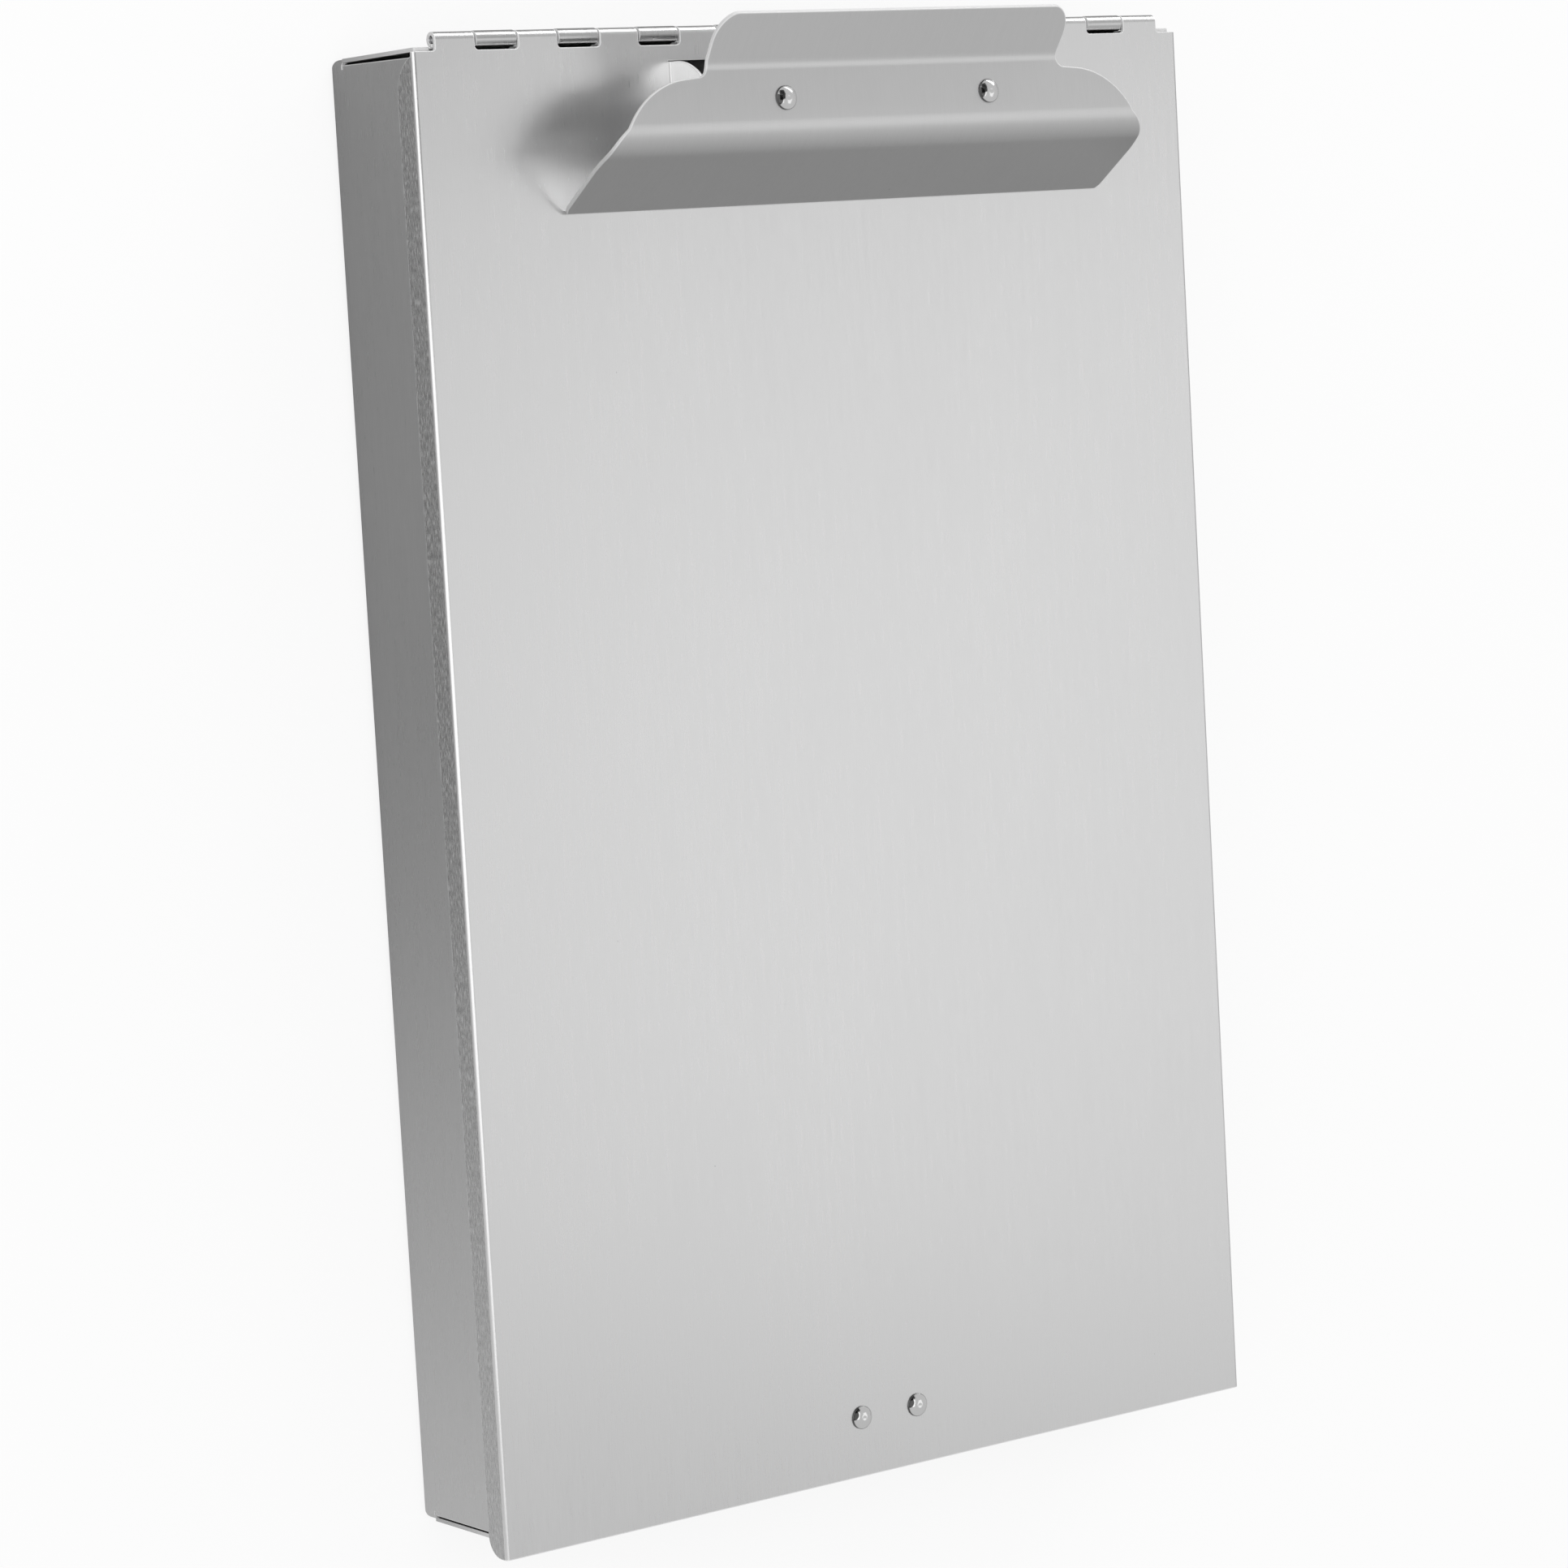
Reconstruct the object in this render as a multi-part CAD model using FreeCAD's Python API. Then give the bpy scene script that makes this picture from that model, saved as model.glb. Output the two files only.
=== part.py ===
import FreeCAD, Part
import math
import os

# Storage clipboard box: a shallow folded tray, and a writing board that is its hinged lid, with a
# sprung paper clip at the hinge end and a leaf latch at the other end.
# Lengths are millimetres and angles are degrees. The box lies on its back: +X runs across the
# board, +Y towards the hinge, +Z out of the writing face. The origin is the centre of the back.

# Overall sizes
board_width = 228.6
overall_depth = 38.1
tray_length = 346.4

# Sheet metal and running clearances
tray_sheet = 1.0
cover_sheet = 0.9
cover_gap = 0.3
side_gap = 0.3
seat_gap = 0.02
pin_clearance = 0.05
knuckle_clearance = 0.1
cut_overrun = 5.0

# Tray
tray_bend_radius = 2.0
corner_slit = 0.4
corner_relief = 0.3
relief_height = 3.0
hinge_wall_lean = 0.8
hinge_wall_drop = 3.4
catch_lip_width = 50.0
catch_lip_depth = 6.2
catch_lip_bend_radius = 1.5
catch_lip_root = 4.0

# Writing board
pull_overhang = 3.8
cover_bend_radius = 1.0
flange_depth = 7.3
flange_bottom_round = 5.0
flange_top_round = 9.5
flange_top_start = 10.0

# Board hinge
hinge_pin_radius = 0.85
hinge_pin_inset = 0.6
roll_width = 216.0
roll_slit = 0.35
roll_slit_reach = 0.7
knuckle_count = 9
knuckle_pitch = 22.8
knuckle_width = 11.0
notch_side_gap = 0.5
notch_end_gap = 0.6
notch_corner_radius = 1.0
knuckle_set_out = 1.4
knuckle_slit_angle = 225.0
knuckle_slit = 0.4

# Ears that are bent up out of the board to carry the clip
clip_offset = 4.6
ear_spacing = 94.8
ear_round = 14.3
ear_round_rise = 1.7
ear_centre_from_hinge = 20.8
ear_reach_down = 11.8
ear_bend_radius = 0.5
ear_root = 3.0
window_width = 16.5
window_margin = 0.2
window_corner_radius = 1.0

# Clip lever, one sheet with two bends: jaw flange, rivet flat and press tab
clip_sheet = 1.0
clip_half_width = 80.6
jaw_from_hinge = 41.0
jaw_gap = 0.3
jaw_length = 26.2
jaw_angle = 55.8
flat_length = 17.9
flat_angle = 4.5
tab_length = 13.5
tab_angle = 33.6
jaw_bend_radius = 8.8
tab_bend_radius = 4.5

# Clip bracket, rivets, pivot pin and springs
bracket_sheet = 1.2
bracket_width = 9.0
bracket_bend_radius = 2.0
lug_gap = 0.3
rivet_spacing = 60.8
rivet_along_flat = 9.7
pivot_drop = 10.15
pivot_pin_radius = 1.5
pivot_head_radius = 2.3
pivot_head_length = 0.9
pivot_end_play = 0.1
spring_wire_radius = 0.65
spring_coil_radius = 2.6
spring_pitch = 1.8
spring_full_turns = 5
spring_place = 20.0
spring_foot_reach = 11.2
spring_arm_past_edge = 2.0
spring_arm_gap = 0.25

# Rivets
rivet_head_radius = 2.85
rivet_head_height = 1.35
rivet_head_edge = 0.35
rivet_shank_radius = 1.5
rivet_tail_radius = 2.2
rivet_tail_height = 0.8
rivet_hole_clearance = 0.03

# Latch leaf under the free end of the board
leaf_sheet = 0.5
leaf_width = 28.0
leaf_foot_length = 11.2
leaf_bend_radius = 1.2
leaf_clear = 0.9
leaf_hook = 0.8
leaf_nose_below = 1.45
leaf_shoulder_above = 0.3
leaf_nose_radius = 0.7
leaf_tail_drop = 5.5
leaf_tail_back = 3.4
latch_rivet_spacing = 17.3
latch_rivet_from_edge = 14.75

# Places that follow from the sizes above
tray_half_width = board_width / 2 - cover_sheet - side_gap
tray_end_y = tray_length / 2
cover_under_z = overall_depth - cover_sheet
tray_rim_z = cover_under_z - cover_gap
cover_half_width = board_width / 2
cover_bottom_y = -tray_end_y - pull_overhang
roll_bore = hinge_pin_radius + pin_clearance
roll_radius = roll_bore + cover_sheet
knuckle_bore = hinge_pin_radius + knuckle_clearance
knuckle_radius = knuckle_bore + tray_sheet
hinge_y = tray_end_y + knuckle_set_out - tray_sheet + knuckle_radius
hinge_z = overall_depth - roll_radius
cover_top_y = hinge_y - knuckle_radius - notch_end_gap
ear_x = ear_spacing / 2
ear_centre_y = hinge_y - ear_centre_from_hinge
latch_rivet_y = cover_bottom_y + latch_rivet_from_edge
lip_edge_y = -tray_end_y + catch_lip_depth
lip_under_z = tray_rim_z - tray_sheet

ACROSS = FreeCAD.Vector(1, 0, 0)
ALONG = FreeCAD.Vector(0, 1, 0)
UP = FreeCAD.Vector(0, 0, 1)


def point(x, y, z):
    return FreeCAD.Vector(x, y, z)


def unit(vector):
    """The direction of a vector, one unit long."""
    return FreeCAD.Vector(vector).normalize()


def block(x0, x1, y0, y1, z0, z1):
    """A box between two opposite corners."""
    return Part.makeBox(x1 - x0, y1 - y0, z1 - z0, point(x0, y0, z0))


def rod(x0, x1, y, z, radius):
    """A round bar that runs across the board."""
    return Part.makeCylinder(radius, x1 - x0, point(x0, y, z), ACROSS)


def rounded_slab(x0, x1, y0, y1, z0, z1, radius):
    """A flat slab with its four upright corners rounded."""
    slab = block(x0, x1, y0, y1, z0, z1)
    upright = [edge for edge in slab.Edges if abs(edge.tangentAt(edge.FirstParameter).dot(UP)) > 0.5]
    return slab.makeFillet(radius, upright)


def mirrored(shape, x):
    """The shape's mirror image in the upright plane at x."""
    return shape.mirror(point(x, 0, 0), ACROSS)


def corner_arc(before, corner, after, radius):
    """Start, middle and end of the arc that rounds one corner of a line."""
    back = unit(before - corner)
    ahead = unit(after - corner)
    half = back.getAngle(ahead) / 2
    middle = unit(back + ahead)
    centre = corner + middle * (radius / math.sin(half))
    reach = radius / math.tan(half)
    return corner + back * reach, centre - middle * radius, corner + ahead * reach


def rounded_line(points, radii):
    """Edges of an open line through the points, with an arc at each inner point."""
    edges = []
    start = points[0]
    for before, corner, after, radius in zip(points, points[1:], points[2:], radii):
        first, middle, last = corner_arc(before, corner, after, radius)
        edges.append(Part.LineSegment(start, first).toShape())
        edges.append(Part.Arc(first, middle, last).toShape())
        start = last
    edges.append(Part.LineSegment(start, points[-1]).toShape())
    return edges


def bent_sheet(points, radii, sheet, normal, width):
    """A bent sheet: one face follows the points, the other lies a sheet's thickness to its left.

    The section lies in the plane square to normal, and is carried along normal for width. A
    negative sheet lies to the right. Each radius belongs to the face that follows the points.
    """
    runs = [unit(after - before) for before, after in zip(points, points[1:])]
    lefts = [normal.cross(run) for run in runs]
    far_points = [points[0] + lefts[0] * sheet]
    far_radii = []
    for index, radius in enumerate(radii):
        one = lefts[index]
        two = lefts[index + 1]
        shift = (one + two) * (sheet / (1 + one.dot(two)))
        far_points.append(points[index + 1] + shift)
        turn = math.copysign(1, normal.dot(runs[index].cross(runs[index + 1])))
        far_radii.append(radius - sheet * turn)
    far_points.append(points[-1] + lefts[-1] * sheet)
    near = rounded_line(points, radii)
    far = rounded_line(far_points, far_radii)
    caps = [
        Part.LineSegment(points[0], far_points[0]).toShape(),
        Part.LineSegment(points[-1], far_points[-1]).toShape(),
    ]
    wire = Part.Wire(Part.__sortEdges__(near + far + caps))
    return Part.Face(wire).extrude(normal * width)


def fused(shapes):
    """One solid from shapes that overlap, with its split faces joined again."""
    return shapes[0].multiFuse(shapes[1:]).removeSplitter()


def knuckle_centres():
    """Places across the board of the tray's hinge knuckles."""
    middle = (knuckle_count - 1) / 2
    return [(index - middle) * knuckle_pitch for index in range(knuckle_count)]


def tray_end_section():
    """Tray floor with its two end walls, as one bent sheet. The hinge wall leans out a little."""
    outer = [
        point(-tray_half_width, -tray_end_y, tray_rim_z),
        point(-tray_half_width, -tray_end_y, 0),
        point(-tray_half_width, tray_end_y, 0),
        point(-tray_half_width, tray_end_y + hinge_wall_lean, tray_rim_z),
    ]
    sheet = bent_sheet(outer, [tray_bend_radius] * 2, tray_sheet, ACROSS, 2 * tray_half_width)
    bend_x = tray_half_width - tray_bend_radius
    inside_y = tray_end_y - tray_sheet
    relief_y = tray_end_y - tray_bend_radius - corner_relief
    far_x = tray_half_width + cut_overrun
    far_y = tray_end_y + cut_overrun
    cuts = []
    for x0, x1 in ((-far_x, -bend_x), (bend_x, far_x)):
        cuts.append(block(x0, x1, -inside_y, inside_y, -cut_overrun, relief_height))
        cuts.append(block(x0, x1, -far_y, -relief_y, -cut_overrun, relief_height))
        cuts.append(block(x0, x1, relief_y, far_y, -cut_overrun, relief_height))
    return sheet.cut(cuts)


def tray_side_section():
    """Tray floor with its two side walls, which stop short of the end walls by a narrow slit."""
    end_y = tray_end_y - tray_sheet - corner_slit
    outer = [
        point(-tray_half_width, end_y, tray_rim_z),
        point(-tray_half_width, end_y, 0),
        point(tray_half_width, end_y, 0),
        point(tray_half_width, end_y, tray_rim_z),
    ]
    sheet = bent_sheet(outer, [tray_bend_radius] * 2, tray_sheet, -ALONG, 2 * end_y)
    relief_y = tray_end_y - tray_bend_radius - corner_relief
    far_x = tray_half_width + cut_overrun
    far_y = tray_end_y + cut_overrun
    cuts = [
        block(-far_x, far_x, -far_y, -relief_y, -cut_overrun, relief_height),
        block(-far_x, far_x, relief_y, far_y, -cut_overrun, relief_height),
    ]
    return sheet.cut(cuts)


def catch_lip():
    """Tab at the rim of the free end wall, turned inwards for the latch leaf to hook under."""
    outer = [
        point(-catch_lip_width / 2, lip_edge_y, tray_rim_z),
        point(-catch_lip_width / 2, -tray_end_y, tray_rim_z),
        point(-catch_lip_width / 2, -tray_end_y, tray_rim_z - catch_lip_root),
    ]
    return bent_sheet(outer, [catch_lip_bend_radius], tray_sheet, ACROSS, catch_lip_width)


def tray_knuckle(x):
    """One eye of the board hinge, rolled outwards from the rim of the hinge wall round the pin."""
    x0 = x - knuckle_width / 2
    x1 = x + knuckle_width / 2
    root_z = tray_rim_z - hinge_wall_drop - tray_sheet
    root_y = tray_end_y + hinge_wall_lean * root_z / tray_rim_z
    strip_y = hinge_y - knuckle_radius + tray_sheet
    outer = [
        point(x0, root_y, root_z),
        point(x0, strip_y, hinge_z - knuckle_bore),
        point(x0, strip_y, hinge_z),
    ]
    strip = bent_sheet(outer, [tray_bend_radius], tray_sheet, ACROSS, knuckle_width)
    eye = rod(x0, x1, hinge_y, hinge_z, knuckle_radius)
    slit = block(x0, x1, hinge_y, hinge_y + cut_overrun,
                 hinge_z - knuckle_slit / 2, hinge_z + knuckle_slit / 2)
    slit.rotate(point(x, hinge_y, hinge_z), ACROSS, knuckle_slit_angle)
    bore = rod(x0 - cut_overrun, x1 + cut_overrun, hinge_y, hinge_z, knuckle_bore)
    return strip.fuse(eye.cut(slit)).cut(bore)


def storage_tray():
    """The box that holds the paper, folded from one sheet."""
    tray = tray_end_section().fuse(tray_side_section())
    lowered_z = tray_rim_z - hinge_wall_drop
    half_lowered = roll_width / 2 + notch_side_gap
    half_lip = catch_lip_width / 2
    lip_cut_z = tray_rim_z - catch_lip_root + tray_sheet
    tray = tray.cut([
        block(-half_lowered, half_lowered, tray_end_y - cut_overrun, tray_end_y + cut_overrun,
              lowered_z, overall_depth),
        block(-half_lip, half_lip, -tray_end_y - cut_overrun, -tray_end_y + cut_overrun,
              lip_cut_z, overall_depth),
    ])
    knuckles = [tray_knuckle(x) for x in knuckle_centres()]
    return fused([tray, catch_lip()] + knuckles)


def flange_end_cut(end_y, centre_y, radius):
    """What rounds off one end of both side flanges, below the bend, in their own plane."""
    low_z = overall_depth - flange_depth
    y0 = min(end_y, centre_y)
    y1 = max(end_y, centre_y)
    far_x = cover_half_width + cut_overrun
    corner = block(-far_x, far_x, y0, y1, low_z - cut_overrun, overall_depth - cover_bend_radius)
    return corner.cut(rod(-far_x, far_x, centre_y, low_z + radius, radius))


def cover_shell():
    """The flat board with its two side flanges, rounded at their ends."""
    low_z = overall_depth - flange_depth
    outer = [
        point(-cover_half_width, cover_top_y, low_z),
        point(-cover_half_width, cover_top_y, overall_depth),
        point(cover_half_width, cover_top_y, overall_depth),
        point(cover_half_width, cover_top_y, low_z),
    ]
    length = cover_top_y - cover_bottom_y
    shell = bent_sheet(outer, [cover_bend_radius] * 2, -cover_sheet, -ALONG, length)
    bottom_centre_y = cover_bottom_y + flange_bottom_round
    top_centre_y = cover_top_y - flange_top_start
    return shell.cut([
        flange_end_cut(cover_bottom_y - cut_overrun, bottom_centre_y, flange_bottom_round),
        flange_end_cut(cover_top_y + cut_overrun, top_centre_y, flange_top_round),
    ])


def cover_roll():
    """The board's hinge edge, rolled down and under into a tube, with a notch for each knuckle."""
    half = roll_width / 2
    tube = rod(-half, half, hinge_y, hinge_z, roll_radius)
    slit = block(-half, half, hinge_y - roll_radius, hinge_y - roll_slit_reach,
                 cover_under_z - roll_slit, cover_under_z)
    strip = block(-half, half, cover_top_y - cover_sheet, hinge_y, cover_under_z, overall_depth)
    bore = rod(-half - cut_overrun, half + cut_overrun, hinge_y, hinge_z, roll_bore)
    return tube.cut(slit).fuse(strip).cut(bore)


def hinge_notch(x):
    """Cut-out in the board's rolled edge that one knuckle turns in."""
    half = knuckle_width / 2 + notch_side_gap
    return rounded_slab(x - half, x + half, cover_top_y, hinge_y + cut_overrun,
                        hinge_z - cut_overrun, overall_depth + cut_overrun, notch_corner_radius)


def ear_and_window():
    """The left ear, bent up out of the board, and the window that it leaves."""
    outer_x = clip_offset - ear_x
    top_z = overall_depth + ear_round_rise + ear_round
    foot_y = ear_centre_y - ear_reach_down
    head_y = ear_centre_y + ear_round
    path = [
        point(outer_x - ear_root, head_y, overall_depth),
        point(outer_x, head_y, overall_depth),
        point(outer_x, head_y, top_z),
    ]
    ear = bent_sheet(path, [ear_bend_radius], -cover_sheet, -ALONG, head_y - foot_y)
    left = outer_x - ear_root
    right = outer_x + cover_sheet
    rounding = rod(left, right, ear_centre_y, overall_depth + ear_round_rise, ear_round)
    foot = block(left, right, foot_y, head_y, cover_under_z, overall_depth + ear_bend_radius)
    ear = ear.common(rounding.fuse(foot))
    pivot_y, pivot_z = pivot_place()
    hole = rod(left, right, pivot_y, pivot_z, pivot_pin_radius + pin_clearance)
    window = rounded_slab(outer_x - ear_bend_radius, outer_x + window_width,
                          foot_y - window_margin, head_y + window_margin,
                          cover_under_z - cut_overrun, overall_depth + cut_overrun, window_corner_radius)
    return ear.cut(hole), window


def writing_cover():
    """The writing board: lid of the tray, with hinge roll, clip ears and rivet holes."""
    left_ear, left_window = ear_and_window()
    right_ear = mirrored(left_ear, clip_offset)
    right_window = mirrored(left_window, clip_offset)
    board = cover_shell().fuse(cover_roll())
    holes = [
        Part.makeCylinder(rivet_shank_radius + rivet_hole_clearance, 2 * cut_overrun,
                          point(x, latch_rivet_y, overall_depth - cut_overrun))
        for x in (-latch_rivet_spacing / 2, latch_rivet_spacing / 2)
    ]
    notches = [hinge_notch(x) for x in knuckle_centres()]
    board = board.cut(notches + holes + [left_window, right_window])
    return fused([board, left_ear, right_ear])


def hinge_pin():
    """The long pin through the rolled edge and all the knuckles."""
    half = roll_width / 2 - hinge_pin_inset
    return rod(-half, half, hinge_y, hinge_z, hinge_pin_radius)


def lever_corners():
    """Corners of the clip lever's outer face, from the jaw's edge to the press tab's edge."""
    slope = math.radians(jaw_angle)
    fall = math.radians(flat_angle)
    climb = math.radians(tab_angle)
    edge = point(0, hinge_y - jaw_from_hinge, overall_depth + jaw_gap + clip_sheet * math.cos(slope))
    jaw_bend = edge + point(0, math.cos(slope), math.sin(slope)) * jaw_length
    tab_bend = jaw_bend + point(0, math.cos(fall), -math.sin(fall)) * flat_length
    tip = tab_bend + point(0, math.cos(climb), math.sin(climb)) * tab_length
    return [edge, jaw_bend, tab_bend, tip]


def on_flat(x, along, above):
    """A point from its place on the rivet flat: along it from the jaw bend, and above its face."""
    fall = math.radians(flat_angle)
    jaw_bend = lever_corners()[1]
    run = point(0, math.cos(fall), -math.sin(fall))
    rise = point(0, math.sin(fall), math.cos(fall))
    return jaw_bend + run * along + rise * above + point(x, 0, 0)


def to_flat(shape):
    """Move a shape made flat, with its origin at the jaw bend, onto the sloping rivet flat."""
    placed = shape.copy()
    placed.rotate(point(0, 0, 0), ACROSS, -flat_angle)
    placed.translate(on_flat(clip_offset, 0, 0))
    return placed


def pivot_place():
    """The clip's pivot axis, y and z, straight under its rivets."""
    place = on_flat(0, rivet_along_flat, -pivot_drop)
    return place.y, place.z


# Outline of the opened-out lever: shares of its half width and of its length from the jaw's edge.
# Each row after the first is the middle and the end of an arc, or twice the same point for a line.
lever_outline_shares = [
    ((0.955, 0.0), (0.955, 0.0)),
    ((0.992, 0.005), (0.999, 0.033)),
    ((1.0, 0.290), (1.0, 0.290)),
    ((0.986, 0.405), (0.937, 0.520)),
    ((0.852, 0.650), (0.724, 0.711)),
    ((0.680, 0.716), (0.680, 0.716)),
    ((0.658, 0.731), (0.650, 0.763)),
    ((0.653, 0.868), (0.653, 0.868)),
    ((0.628, 0.968), (0.556, 1.0)),
]


def lever_outline():
    """Right half of the lever's outline seen from above, from the middle of the jaw round to the tab."""
    corners = lever_corners()
    lengths = [jaw_length, flat_length, tab_length]
    total = sum(lengths)

    def plan(shares):
        left = shares[1] * total
        y = corners[0].y
        for start, end, length in zip(corners, corners[1:], lengths):
            used = min(left, length)
            y += (end.y - start.y) * used / length
            left -= used
        return point(clip_offset + shares[0] * clip_half_width, y, 0)

    first = plan(lever_outline_shares[0][1])
    edges = [Part.LineSegment(point(clip_offset, first.y, 0), first).toShape()]
    start = first
    for middle_shares, end_shares in lever_outline_shares[1:]:
        end = plan(end_shares)
        if middle_shares == end_shares:
            edges.append(Part.LineSegment(start, end).toShape())
        else:
            edges.append(Part.Arc(start, plan(middle_shares), end).toShape())
        start = end
    edges.append(Part.LineSegment(start, point(clip_offset, start.y, 0)).toShape())
    edges.append(Part.LineSegment(point(clip_offset, start.y, 0), point(clip_offset, first.y, 0)).toShape())
    return Part.Face(Part.Wire(edges))


def clip_lever():
    """The wide sheet lever that presses the paper down and carries the thumb tab."""
    shift = point(clip_offset - clip_half_width - cut_overrun, 0, 0)
    corners = [corner + shift for corner in lever_corners()]
    width = 2 * (clip_half_width + cut_overrun)
    sheet = bent_sheet(corners, [jaw_bend_radius, tab_bend_radius], -clip_sheet, ACROSS, width)
    half = lever_outline()
    tall = UP * (2 * overall_depth)
    right = half.extrude(tall)
    left = mirrored(right, clip_offset)
    lever = sheet.common(right.fuse(left).removeSplitter())
    holes = [rivet_hole(x) for x in (-rivet_spacing / 2, rivet_spacing / 2)]
    return lever.cut(holes)


def rivet_hole(x):
    """Hole for one clip rivet, square to the rivet flat."""
    hole = Part.makeCylinder(rivet_shank_radius + rivet_hole_clearance, 2 * cut_overrun,
                             point(x, rivet_along_flat, -cut_overrun))
    return to_flat(hole)


def clip_bracket():
    """Channel under the rivet flat whose two lugs hang on the pivot pin, inside the ears."""
    half = ear_x - cover_sheet - lug_gap
    back = rivet_along_flat + bracket_width / 2
    low = -pivot_drop - bracket_width
    top = -clip_sheet - seat_gap
    outer = [point(-half, back, low), point(-half, back, top), point(half, back, top), point(half, back, low)]
    channel = bent_sheet(outer, [bracket_bend_radius] * 2, -bracket_sheet, -ALONG, bracket_width)
    keep = rod(-half, half, rivet_along_flat, -pivot_drop, bracket_width / 2)
    keep = keep.fuse(block(-half, half, back - bracket_width, back, -pivot_drop, top))
    channel = to_flat(channel.common(keep))
    pivot_y, pivot_z = pivot_place()
    bore = rod(clip_offset - ear_x, clip_offset + ear_x, pivot_y, pivot_z, pivot_pin_radius + pin_clearance)
    holes = [rivet_hole(x) for x in (-rivet_spacing / 2, rivet_spacing / 2)]
    return channel.cut([bore] + holes)


def rivet(grip):
    """A domed rivet that stands on the surface it holds, head up, set over the grip below."""
    rise = rivet_head_height - rivet_head_edge
    dome = (rise * rise + rivet_head_radius * rivet_head_radius) / (2 * rise)
    half_radius = rivet_head_radius / 2
    half_height = rivet_head_height - dome + math.sqrt(dome * dome - half_radius * half_radius)
    rim = point(rivet_head_radius, 0, rivet_head_edge)
    crown = point(0, 0, rivet_head_height)
    low = -grip - rivet_tail_height
    corners = [
        crown,
        point(0, 0, low),
        point(rivet_tail_radius, 0, low),
        point(rivet_tail_radius, 0, -grip),
        point(rivet_shank_radius, 0, -grip),
        point(rivet_shank_radius, 0, seat_gap),
        point(rivet_head_radius, 0, seat_gap),
        rim,
    ]
    edges = [Part.LineSegment(start, end).toShape() for start, end in zip(corners, corners[1:])]
    edges.append(Part.Arc(rim, point(half_radius, 0, half_height), crown).toShape())
    return Part.Face(Part.Wire(edges)).revolve(point(0, 0, 0), UP, 360)


def clip_rivet(x):
    """Rivet that holds the bracket under the lever."""
    body = rivet(clip_sheet + bracket_sheet + 2 * seat_gap)
    body.translate(point(x, rivet_along_flat, 0))
    return to_flat(body)


def latch_rivet(x):
    """Rivet that holds the latch leaf under the board."""
    body = rivet(cover_sheet + leaf_sheet + 2 * seat_gap)
    body.translate(point(x, latch_rivet_y, overall_depth))
    return body


def clip_pivot_pin():
    """Pin through the ears and the bracket's lugs, with a formed head at each end."""
    pivot_y, pivot_z = pivot_place()
    head_x = ear_x + pivot_end_play
    end_x = head_x + pivot_head_length
    shank = rod(clip_offset - end_x, clip_offset + end_x, pivot_y, pivot_z, pivot_pin_radius)
    left = rod(clip_offset - end_x, clip_offset - head_x, pivot_y, pivot_z, pivot_head_radius)
    right = rod(clip_offset + head_x, clip_offset + end_x, pivot_y, pivot_z, pivot_head_radius)
    return fused([shank, left, right])


def arc_pair(start, start_run, end, end_run):
    """Two arcs that leave start along start_run and reach end along end_run."""
    gap = end - start
    total = start_run + end_run
    spread = 2 * (1 - start_run.dot(end_run))
    pull = gap.dot(total)
    reach = (math.sqrt(pull * pull + spread * gap.dot(gap)) - pull) / spread
    one = start + start_run * reach
    two = end - end_run * reach
    middle = (one + two) * 0.5
    edges = []
    for first, corner, last in ((start, one, middle), (middle, two, end)):
        chord = last - first
        weight = unit(chord).dot(unit(corner - first))
        crown = (first + corner * (2 * weight) + last) * (1 / (2 + 2 * weight))
        edges.append(Part.Arc(first, crown, last).toShape())
    return edges


def coil_tangent(y, z, side):
    """Where the line from a place beside the coil touches it, as an angle, and the line's length."""
    distance = math.hypot(y, z)
    half = math.acos(spring_coil_radius / distance)
    return math.atan2(z, y) + side * half, math.sqrt(distance ** 2 - spring_coil_radius ** 2)


def spring_ends():
    """Angle and length of a spring's foot, on the board, and of its arm, under the bracket's edge."""
    pivot_y, pivot_z = pivot_place()
    foot_z = overall_depth + spring_wire_radius + seat_gap - pivot_z
    below = clip_sheet + seat_gap + bracket_sheet + spring_wire_radius + spring_arm_gap
    edge = on_flat(0, rivet_along_flat + bracket_width / 2, -below)
    foot_angle, foot_length = coil_tangent(spring_foot_reach, foot_z, -1)
    arm_angle, arm_length = coil_tangent(edge.y - pivot_y, edge.z - pivot_z, 1)
    return foot_angle, foot_length, arm_angle, arm_length + spring_arm_past_edge


def clip_spring():
    """The right torsion spring: a foot on the board, a coil round the pin, an arm under the bracket."""
    pivot_y, pivot_z = pivot_place()
    foot_angle, foot_length, arm_angle, arm_length = spring_ends()
    sweep = foot_angle - arm_angle + 2 * math.pi * (spring_full_turns + 1)
    steps = math.ceil(sweep / (math.pi / 2))
    climb = spring_pitch / (2 * math.pi)

    def place(angle):
        turned = foot_angle - angle
        x = clip_offset + spring_place + climb * turned
        y = pivot_y + spring_coil_radius * math.cos(angle)
        z = pivot_z + spring_coil_radius * math.sin(angle)
        return point(x, y, z)

    def heading(angle):
        return unit(point(climb, spring_coil_radius * math.sin(angle), -spring_coil_radius * math.cos(angle)))

    angles = [foot_angle - sweep * index / steps for index in range(steps + 1)]
    foot_tip = place(angles[0]) - heading(angles[0]) * foot_length
    arm_tip = place(angles[-1]) + heading(angles[-1]) * arm_length
    edges = [Part.LineSegment(foot_tip, place(angles[0])).toShape()]
    for one, two in zip(angles, angles[1:]):
        edges += arc_pair(place(one), heading(one), place(two), heading(two))
    edges.append(Part.LineSegment(place(angles[-1]), arm_tip).toShape())
    ring = Part.Wire(Part.makeCircle(spring_wire_radius, foot_tip, heading(angles[0])))
    return Part.Wire(edges).makePipeShell([ring], True, False)


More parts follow.
